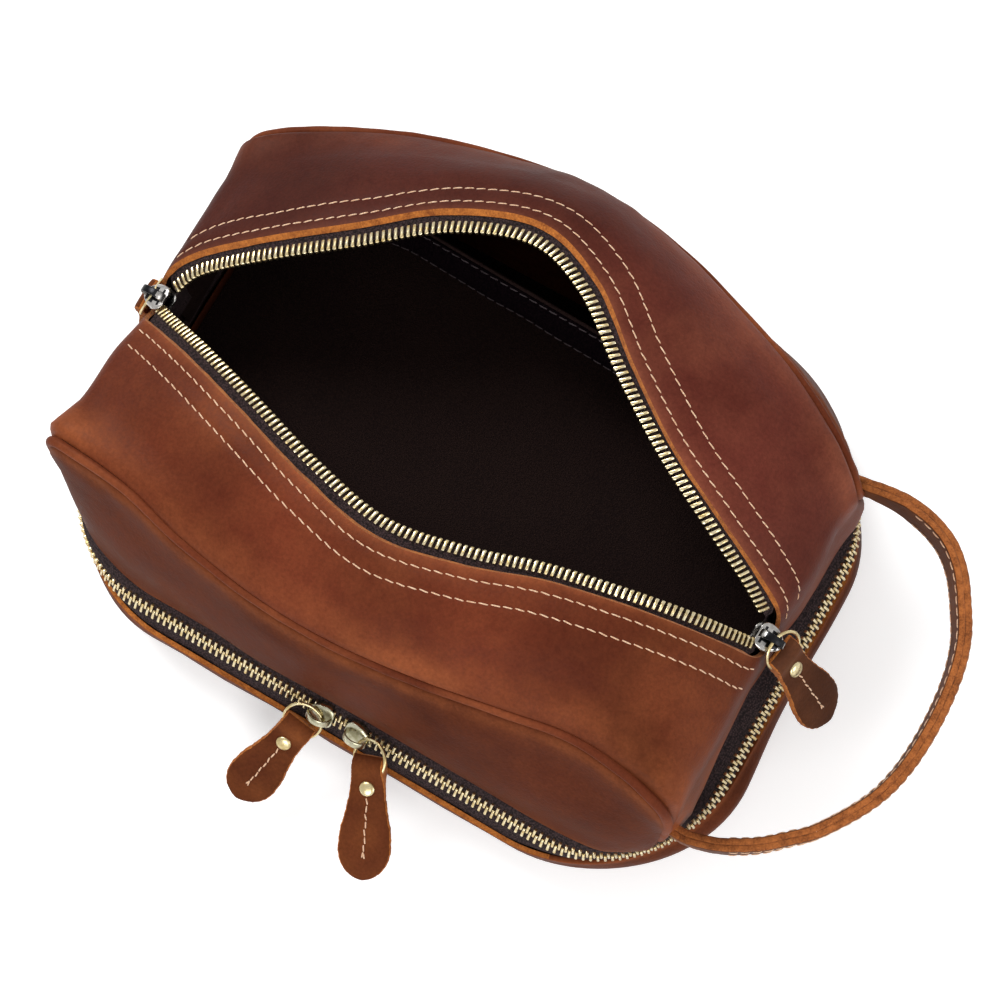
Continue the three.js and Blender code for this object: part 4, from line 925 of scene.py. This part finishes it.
def pocket():
    """A slip pocket hung inside the back, with a band sewn along its top."""
    x = np.linspace(-80, 86, 150)
    deep = np.array([0, 1.2, 4.5, 8.5, 11.5, 13, 18, 25, 33, 41, 47.5])
    lean = np.array([0, -0.5, -2.0, -3.8, -5.0, -5.2, -4.4, -2.0, 1.0, 3.8, 6.0])
    top_y = 61.5 - 0.053 * x + 0.6 * np.sin(x / 31) - smooth(abs(x), 50, 90) * 5
    top = np.stack([x, top_y, 92.5 - (x / 88) ** 4 * 7], 1)
    rows = top[:, None] + np.stack([0 * deep, lean, -deep], 1)[None]
    rows[..., 2] = np.maximum(rows[..., 2], LEDGE + 1.6)
    rows[..., 1] += ripple(rows, 27, 91) * 0.7 * smooth(deep, 8, 20)[None, :]
    face = normals_of(rows, centre=np.array([0, 400.0, 60]))
    sheet("slip_pocket_cloth", rows, rows - face * 0.5, [LINING] * 3, "bag", replaces=["inner_pocket"],
          slot="lining_cloth")
    band = (rows + face * 0.75)[:, 1:6]
    sheet("slip_pocket_band", band, band - face[:, 1:6] * 0.7, [BAND] * 3, "bag", replaces=["pocket_band"],
          slot="lining_cloth")
    for column, inner, tag in ((0, 1, "upper"), (4, 3, "lower")):
        line = band[:, column] * 0.75 + band[:, inner] * 0.25
        stitches(f"pocket_{tag}_stitches", line, face[:, 1 + column], DARKTHREAD, "bag", radius=0.2)


def flat_cloth(name, corner_loop, height, body, replaced, crown):
    share = np.append(np.linspace(1, 0.06, 14), 0.0005)
    rows = corner_loop[:, None] * share[None, :, None]
    rows[..., 2] = height + crown * (1 - share[None, :] ** 2)
    rows[..., 2] += 0.18 * ripple(rows * [1, 1, 0], 34, len(name))
    sheet(name, rows, rows - [0, 0, 0.5], [LINING] * 3, body, closed=True, replaces=[replaced], slot="lining_cloth")


def floors():
    flat_cloth("bag_floor_cloth", loop(-6.1, -6.1, 21.9, 0), LEDGE + 0.7, "bag", "floor_lining", 0.6)
    flat_cloth("tray_floor_cloth", loop(4.2, 8.4, 45, 0), 3.3, "tray", "tray_floor_lining", 0.5)
    levels = [loop(*p) for p in ((4.6, 8.6, 48, 3.5), (6.4, 9.6, 56, 6.0), (8.0, 11.0, 56, 10.0),
                                 (8.6, 11.6, 57, 16.0), (8.4, 11.5, 57, 21.0))]
    cloth("tray_wall_cloth", np.stack(levels, 1), "tray", "tray_wall_lining", centre=np.array([0, 0, 15.0]),
          closed=True, rough=0.25)


def foot_cloth(side):
    """Cloth at both ends that joins the lower tape to the foot of the leather above it."""
    _, grid, out, _ = ROWS[side]
    ledge = loop(0, 0, 28, LEDGE - 0.8)
    for sign, name, foot_row, high_row in ((-1, "left", 0, 5), (1, "right", -1, -6)):
        edge = ledge[ledge[:, 0] * sign > 92]
        edge = edge[np.argsort(edge[:, 1])]
        foot, high = (grid[k] - out[k] * (LEATHER + 0.3) for k in (foot_row, high_row))
        low = np.stack([np.interp(foot[:, 1], edge[:, 1], edge[:, 0]), foot[:, 1], np.full(len(foot), LEDGE - 0.8)], 1)
        rows = np.stack([low - [sign * 1.0, 0, 0], low, foot, high], 1)
        sheet(f"{side}_foot_cloth_{name}", rows, rows - normals_of(rows) * 0.5, [TAPE] * 3, "bag", slot="zip_tape")


def mouth_end(sign, name):
    """The ends of the zip's tapes, sewn down inside each end below the slider."""
    y, z = np.linspace(-9.5, 9.5, 20), np.linspace(62, 82, 21)
    x = sign * (117.2 - 2.4 * smooth(z, 66, 84))
    rows = np.stack([np.broadcast_to(a, (20, 21)) for a in (x, y[:, None], z)], -1)
    up = normals_of(rows)
    rows = rows + up * (0.15 * ripple(rows, 9, 95))[..., None]
    sheet(f"mouth_end_cloth_{name}", rows, rows - up * 0.6, [TAPE] * 3, "bag", slot="zip_tape")


pocket()
linings()
floors()
for sign, name in ((-1, "left"), (1, "right")):
    mouth_end(sign, name)
for side in ("front", "back"):
    seam_cover(side)
    foot_cloth(side)


# Handle

HANDLE_PATH = [
    [114.5, -66.2], [120.2, -66.8], [126, -67.0], [132.8, -65.4], [139.3, -62.7], [148.1, -57.2],
    [155.6, -50.4], [162.9, -42.8],
    [172.5, -27.0], [177, -12.5], [178.3, 5.0], [177, 22.5], [173.5, 36.0], [167.6, 47.0], [161.5, 55.9], [154.5, 62.3],
    [146.3, 66.1], [137, 68.1], [131, 68.3], [125.2, 67.9], [120, 67.2], [114.5, 66.4],
]


def strap(name, near, far, line, away, up, half, seed, replaced):
    """One leather layer of the handle: a slab between two distances from the middle line, with a cut top and foot."""
    step = (far - near) / abs(far - near)
    # Each corner point: distance from the middle line, height past the half width, whether it is cut leather
    corner = [(near, 0, 1), (near + step * 0.1, 0.12, 1), (near + step * 0.6, 0.2, 1), (far - step * 0.6, 0.12, 1),
              (far - step * 0.18, -0.1, 1), (far, -0.5, 0), (far, -1.1, 0)]
    low, high = ([(a, end, h, m) for a, h, m in corner] for end in (-1, 1))
    ring = high + [(far, e, 0, 0) for e in (0.4, 0, -0.4)] + low[::-1] + [(near, e, 0, 0) for e in (-0.4, 0.4)]
    rings = np.stack([line + away * a + up * ((half + h) * e if abs(e) == 1 else half * e)[:, None]
                      for a, e, h, m in ring], 1)
    rough_up = 0.09 * ripple(rings, 5, seed)[..., None] * up[:, None]
    rough_away = 0.05 * ripple(rings, 3, seed + 2)[..., None] * away[:, None]
    rings = rings + rough_up + rough_away
    verts, faces = loft(rings)
    cut = {k for k, x in enumerate(ring) if x[3] == 1}
    marks = [1 if len(f) > 4 or all(x % len(ring) in cut for x in f) else 0 for f in faces]
    wear = 0.2 + 0.2 * ripple(verts, 30, seed + 1)
    piece = make(name, verts, faces, [STRAP, CUT], None, marks=marks, replaces=replaced, slot="leather_raw_edge",
                 wear=np.clip(wear, 0, 1))
    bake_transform(piece)


def handle():
    path = curve([[x, y, 52.0] for x, y in HANDLE_PATH])
    line = path(even(path, 360))
    where = lengths(line)
    tan = unit(np.gradient(line, axis=0))
    away = unit(np.stack([tan[:, 1], -tan[:, 0], 0 * tan[:, 0]], 1))
    up = np.zeros_like(line) + [0, 0, 1]
    inside = np.minimum(smooth(where, 20, 60), smooth(where[-1] - where, 20, 60))
    line[:, 2] += ripple(line, 120, 52) * 0.5 * inside
    lean = np.radians(-2.5 * inside)[:, None]
    a, b = away * np.cos(lean) + up * np.sin(lean), up * np.cos(lean) - away * np.sin(lean)
    half = 4.6 + 4.4 * np.minimum(smooth(where, 4, 30), smooth(where[-1] - where, 4, 30))
    strap("handle_outer_strap", 0.02, 2.3, line, a, b, half, 61, ["handle_outer_layer", "handle_anchor_front"])
    strap("handle_inner_strap", -0.02, -2.3, line, a, b, half, 63, ["handle_inner_layer", "handle_anchor_back"])
    keep = (where > 25) & (where < where[-1] - 25)
    for tag, face, edge in (("outer_high", 2.32, 1), ("outer_low", 2.32, -1),
                            ("inner_high", -2.32, 1), ("inner_low", -2.32, -1)):
        at = line + a * face + b * (edge * (half - 2.0))[:, None]
        stitches(f"handle_{tag}_stitches", at[keep], (a * np.sign(face))[keep], THREAD, "handle", radius=0.28)


handle()


# Pulls: a wire ring, a folded leather tab, its rivet and its stitches

RING_RADIUS, RING_WIRE, RIVET_AT = 6.8, 0.6, 11.5
TAB_HALF = curve([[0, 5.9], [4, 6.05], [9.7, 6.1], [17.6, 6.9], [25.5, 8.6], [32.5, 9.25], [38.3, 8.1],
                  [41.8, 5.4], [43.6, 2.4], [44, 0.5]])
TAB_THICK = curve([[0, 0.7], [0.9, 1.75], [2.2, 2.45], [4.0, 2.8], [5.7, 2.65], [7.4, 2.1], [9.5, 1.55],
                   [13, 1.46], [28, 1.46], [43, 1.4], [44, 1.2]])


def pull(name, centre, face, wire, width, down, material, shift=(0, 0, 0), twist=0.0, high=0.0):
    centre, face, wire, width, down = (np.array(x, float) for x in (centre, face, wire, width, down))
    face, width, down = unit(face), unit(width), unit(down)
    centre, wire = centre + shift, wire + shift
    third = unit(np.cross(width, down))
    side = unit(wire - centre)
    other = np.cross(face, side)
    angle = np.arange(72) * 2 * math.pi / 72
    circle = centre + RING_RADIUS * (np.cos(angle)[:, None] * side + np.sin(angle)[:, None] * other)
    out = unit(circle - centre)
    small = np.arange(12) * 2 * math.pi / 12
    tube = out[:, None] * np.cos(small)[None, :, None] + face * np.sin(small)[None, :, None]
    rings = circle[:, None] + RING_WIRE * tube
    verts, faces = loft(rings, closed=True)
    make(f"{name}_wire_ring", verts, faces, [BRASS], f"{name}_link", replaces=[f"{name}_ring"], slot="zip_brass",
         sharp=False)
    origin = wire - down * (6.2 + high)

    def turned(d):
        turn = math.radians(twist) * (0.3 + 0.7 * smooth(d, 2, 16))
        return width * math.cos(turn) + third * math.sin(turn), third * math.cos(turn) - width * math.sin(turn)

    tip = 44 - 4 * (1 - np.linspace(0, 1, 14)[1:]) ** 1.8
    d = np.concatenate([np.linspace(0, 12, 25), np.linspace(12.6, 40, 40), tip])
    halves = np.interp(d, *np.array(TAB_HALF(np.linspace(0, 1, 400))).T)
    thick = np.interp(d, *np.array(TAB_THICK(np.linspace(0, 1, 400))).T)
    steps = np.linspace(-1, 1, 15)
    rings = []
    for dd, w, h in zip(d, halves, thick):
        rough = 0.13 * math.sin(dd * 5.1 + len(name)) * math.sin(dd * 2.3) + 0.08 * math.sin(dd * 9.7 + 1)
        w = max(w + rough, 0.3)
        front = [[x * (w - 0.35), h - 0.28 * abs(x) ** 6] for x in steps]
        edge = [[w, h - 0.55], [w + 0.08, 0.35], [w - 0.12, 0], [w + 0.08, -0.35], [w, -h + 0.55]] if dd > 8.6 else \
            [[w, h * 0.7], [w, h * 0.3], [w, 0], [w, -h * 0.3], [w, -h * 0.7]]
        backs = [[-x, -y] for x, y in front]
        far = [[-x, -y] for x, y in edge]
        section = np.array(front + edge + backs + far)
        across, out = turned(dd)
        rings.append(origin + down * dd + section[:, :1] * across + section[:, 1:] * out)
    verts, faces = loft(rings)
    count = len(steps) * 2 + 10
    marks = []
    for f in faces:
        low = [x % count for x in f]
        flatside = all(x < 15 for x in low) or all(20 <= x < 35 for x in low)
        marks.append(0 if flatside and len(f) == 4 else 1)
    along = np.repeat(d, count)
    wear = 0.15 + 0.35 * np.exp(-((along - 5) / 4) ** 2) + 0.15 * ripple(verts, 14, 71)
    make(f"{name}_leather_tab", verts, faces, [material, RAW], f"{name}_pull", replaces=[f"{name}_tab"], slot="leather",
         marks=marks, wear=np.clip(wear, 0, 1))
    head = [(0, 0.95), (0.9, 0.92), (1.8, 0.78), (2.4, 0.52), (2.75, 0.2), (2.8, -0.1)]
    angle = np.arange(24) * 2 * math.pi / 24
    profile = [(r, z + 1.66) for r, z in head[::-1]]
    profile = [(r, -z) for r, z in profile[::-1]] + [(1.2, -1.4), (1.2, 1.4)] + profile
    across, out = turned(RIVET_AT)
    rim = np.cos(angle)[:, None] * across + np.sin(angle)[:, None] * down
    rings = [origin + down * RIVET_AT + out * z + max(r, 0.02) * rim for r, z in profile]
    verts, faces = loft(rings)
    make(f"{name}_rivet_heads", verts, faces, [BRASS], f"{name}_pull", replaces=[f"{name}_rivet"], slot="antique_brass")
    for sign, tag in ((1, "front"), (-1, "back")):
        places = np.append(np.linspace(14.6, 34.5, 40), np.linspace(34.4, 36.6, 6))
        line = np.array([origin + down * x + turned(x)[1] * (1.5 * sign) + turned(x)[0] * 0.15 * math.sin(x)
                         for x in places])
        normal = np.array([turned(x)[1] * sign for x in places])
        stitches(f"{name}_{tag}_stitches", line, normal, THREAD, f"{name}_pull", pitch=2.7, length=2.4, radius=0.25,
                 lift=0.05)
        stitches(f"{name}_{tag}_back_stitch", line[-9:] + turned(35)[0] * 0.45, normal[-9:], THREAD, f"{name}_pull",
                 pitch=2.0, length=1.9, radius=0.25, lift=0.2, slant=-0.35)


pull("lower_left", (-9.65, -98.59, 37.22), (0.174, -0.586, 0.791), (-11.41, -104.05, 33.56),
     (-0.950, 0.111, 0.291), (-0.267, -0.775, -0.574), PULL, shift=(0.4, 0.8, 0.1), high=0.6)
pull("lower_right", (15.18, -98.93, 38.80), (-0.350, -0.468, 0.811), (17.94, -104.76, 36.63),
     (-0.844, -0.218, -0.490), (0.402, -0.862, -0.309), PULL, shift=(3.0, 1.5, 0), twist=32, high=1.8)
pull("top_left", (-123.81, 0, 81.34), (-0.940, 0, 0.342), (-126.13, 0, 74.95),
     (0, 1, 0), (-0.191, 0, -0.982), PULL, shift=(1.0, 0, -1.0))
pull("top_right", (124.83, -1.74, 82.07), (0.823, -0.173, 0.541), (128.17, -3.52, 76.42),
     (-0.131, -0.986, 0.098), (0.547, -0.154, -0.822), DARKPULL, shift=(-0.4, 1.2, 1.1), high=1.9)


# Sliders: a leaf-shaped plate over and under the chain, and a strap of metal arched along the top

def joined(parts):
    verts, faces, marks, base = [], [], [], 0
    for (v, f), mark in parts:
        verts.append(v)
        faces += [[x + base for x in face] for face in f]
        marks += [mark] * len(f)
        base += len(v)
    return np.vstack(verts), faces, marks


def slider(name, origin, nose, outward, body, materials):
    u, w = unit(nose), unit(outward)
    v = np.cross(w, u)
    origin = np.array(origin, float)

    def place(shape):
        return origin + shape[0] @ np.array([u, v, w]), shape[1]

    us = np.linspace(-5, 5.2, 23)
    half = np.interp(us, [-5, -4.6, -3.6, -1.6, 1.2, 3.2, 4.6, 5.2], [2.4, 3.5, 4.4, 4.7, 4.2, 2.9, 1.6, 0.5])
    swell = np.interp(us, [-5, -3, 0, 3, 5.2], [0.5, 0.75, 0.9, 0.8, 0.45])
    plates = [lofted(us, [oval(20, k, h, 2.7) + [0, level] for k, h in zip(half, swell)]) for level in (2.25, -2.25)]
    sides = [lofted(us[3:-5], [oval(10, 0.5, 1.35, 2.6) + [sign * (k - 0.4), 1.3 * level] for k in half[3:-5]])
             for sign in (1, -1) for level in (1, -1)]
    neck = lofted([1.8, 2.2, 4.2, 4.6], [oval(12, k, 1.9, 3) for k in (0.5, 0.9, 0.8, 0.4)])
    turn = np.linspace(-0.12, math.pi + 0.12, 25)
    rise = 2.7 + 4.3 * np.abs(np.sin(turn)) ** 0.72 * np.sign(np.sin(turn))
    arch = np.stack([-4.25 * np.cos(turn) * 1.02, 0 * turn, rise], 1)
    _, across, third = frames_along(arch, [0, 1, 0])
    wide = np.interp(turn, [0, 0.7, math.pi / 2, math.pi - 0.7, math.pi], [1.6, 1.35, 1.3, 1.35, 1.5])
    ring = [oval(12, k, 0.42, 3.4) for k in wide]
    bail = loft([p + across[i] * ring[i][:, :1] + third[i] * ring[i][:, 1:] for i, p in enumerate(arch)])
    parts = [(place(x), 0) for x in plates + sides + [neck]] + [(place(bail), 1)]
    verts, faces, marks = joined(parts)
    # On the top sliders the plate rims, sides, neck and bail ends take the chrome and the middles the black nickel:
    # painted highlights along the edges of a black slider
    for k, face in enumerate(faces):
        spot = (verts[face].mean(axis=0) - origin) @ np.array([u, v, w]).T
        if k < 2 * len(plates[0][1]):
            marks[k] = int(abs(spot[1]) < 2.5 and abs(spot[0]) < 3.5)
        elif marks[k] == 1 and abs(spot[0]) > 3.7:
            marks[k] = 0
    make(f"{name}_body", verts, faces, materials, body, marks=marks, replaces=[name], slot="antique_brass")


LEAN = math.radians(24)
for sign, name in ((-1, "left"), (1, "right")):
    slider(f"lower_{name}_slider", ((-4.9, -91.2, 36.5) if sign < 0 else (10.3, -91.2, 36.5)), (sign, 0, 0),
           (0, -0.724, 0.690), f"lower_{name}_slide", [SLIDER, SLIDER])
    slider(f"top_{name}_slider", (sign * 118.4, 0, 84.5), (sign * math.cos(LEAN), 0, -math.sin(LEAN)),
           (sign * math.sin(LEAN), 0, math.cos(LEAN)), "bag", [EDGE_HIGHLIGHT_CHROME, BLACK])


# The leather hinge along the back, which bends between the tray and the bag

HINGE_REACH, HINGE_COLUMNS, HINGE_THICK = 106, 120, 1.3


def hinge():
    angle = np.radians(np.linspace(-60, 96, 19))
    xs = np.linspace(-HINGE_REACH, HINGE_REACH, HINGE_COLUMNS)
    feet = []
    for height in (TRAY_EDGE - 6, TRAY_EDGE - 0.6):
        wall = loop(7.35, 12.25, 58, height)
        wall = wall[wall[:, 1] > 60]
        wall = wall[np.argsort(wall[:, 0])]
        feet.append(np.stack([xs, np.interp(xs, wall[:, 0], wall[:, 1]), np.full(HINGE_COLUMNS, height)], 1))
    past = np.maximum(abs(xs) - 78.3, 0)
    middle = 45.1 + np.sqrt(50**2 - past**2)
    centre = tucked(np.stack([xs, middle, np.full(HINGE_COLUMNS, HINGE_HEIGHT)], 1))
    way = np.stack([np.sign(xs) * past / 50, np.sqrt(1 - (past / 50) ** 2), 0 * xs], 1)
    inset = 3.2 * smooth(xs, 66, 92)
    radius = 3.3 - 1.0 * smooth(xs, 66, 92) - 0.6 * smooth(-xs, 84, 104)
    seam = SEAM["back"](np.linspace(0, 1, 600))
    seam_y, seam_z = np.interp(xs, seam[:, 0], seam[:, 1]), np.interp(xs, seam[:, 0], seam[:, 2])
    goal = tucked(np.stack([xs, seam_y - 2.6, seam_z + 2.2], 1))
    rows = []
    for c, w, i, r, g, low_foot, high_foot in zip(centre, way, inset, radius, goal, *feet):
        arc = c - w * i + r * np.cos(angle)[:, None] * w + r * 1.03 * np.sin(angle)[:, None] * [0, 0, 1]
        f = np.linspace(0, 1, 6)[1:, None]
        rows.append(np.vstack([low_foot, high_foot, arc, arc[-1] * (1 - f) + g * f]))
    rows = np.array(rows)
    n = normals_of(rows, centre=np.array([0, HINGE_OUT - 30.0, HINGE_HEIGHT]))
    rows = rows + n * (0.16 * ripple(rows, 10, 81))[..., None]
    piece = sheet("hinge_leather", rows, rows - n * HINGE_THICK, [TRAY, FLESH, TRAY], None,
                  np.full(rows.shape[:2], 0.4), replaces=["hinge_roll"], slot="leather")
    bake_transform(piece)


hinge()


# CAD nodes that stay: rigid boards, with softened edges; the zip stops are drawn anew

BOARD_EDGE, BOARD_ANGLE = 0.5, 35


def keep(node, material):
    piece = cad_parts[node]
    piece.data.materials.clear()
    piece.data.materials.append(material)
    weld = piece.modifiers.new("weld", "WELD")
    weld.merge_threshold = 1e-6
    bevel = piece.modifiers.new("soft_edges", "BEVEL")
    bevel.width, bevel.segments, bevel.limit_method = BOARD_EDGE * MM, 2, "ANGLE"
    bevel.angle_limit = math.radians(BOARD_ANGLE)
    piece.data.polygons.foreach_set("use_smooth", np.ones(len(piece.data.polygons), bool))
    normal = piece.modifiers.new("face_normals", "WEIGHTED_NORMAL")
    normal.keep_sharp = True


# The boards take the same darker leather, with its painted shade
for node in ("tray_base", "floor_panel"):
    keep(node, SHADED_SIDE_LEATHER)
STOP_SIZES = (0.6, 0.85, 1, 1, 1, 1, 1, 0.85, 0.6)
for end, name in ((-1, "left"), (0, "right")):
    stop = lofted(np.linspace(-2.6, 2.6, 9), [oval(16, 1.2 * k, 1.75 * k, 3) for k in STOP_SIZES])
    axes = np.stack([SLANT[end], CHAIN_SIDE[end], CHAIN_UP[end]])
    scatter(f"zip_stop_{name}", stop, CHAIN[end][None], axes[None], SLIDER, "bag", replaces=[f"lower_zip_stop_{name}"],
            slot="zip_brass")

bpy.context.view_layer.update()
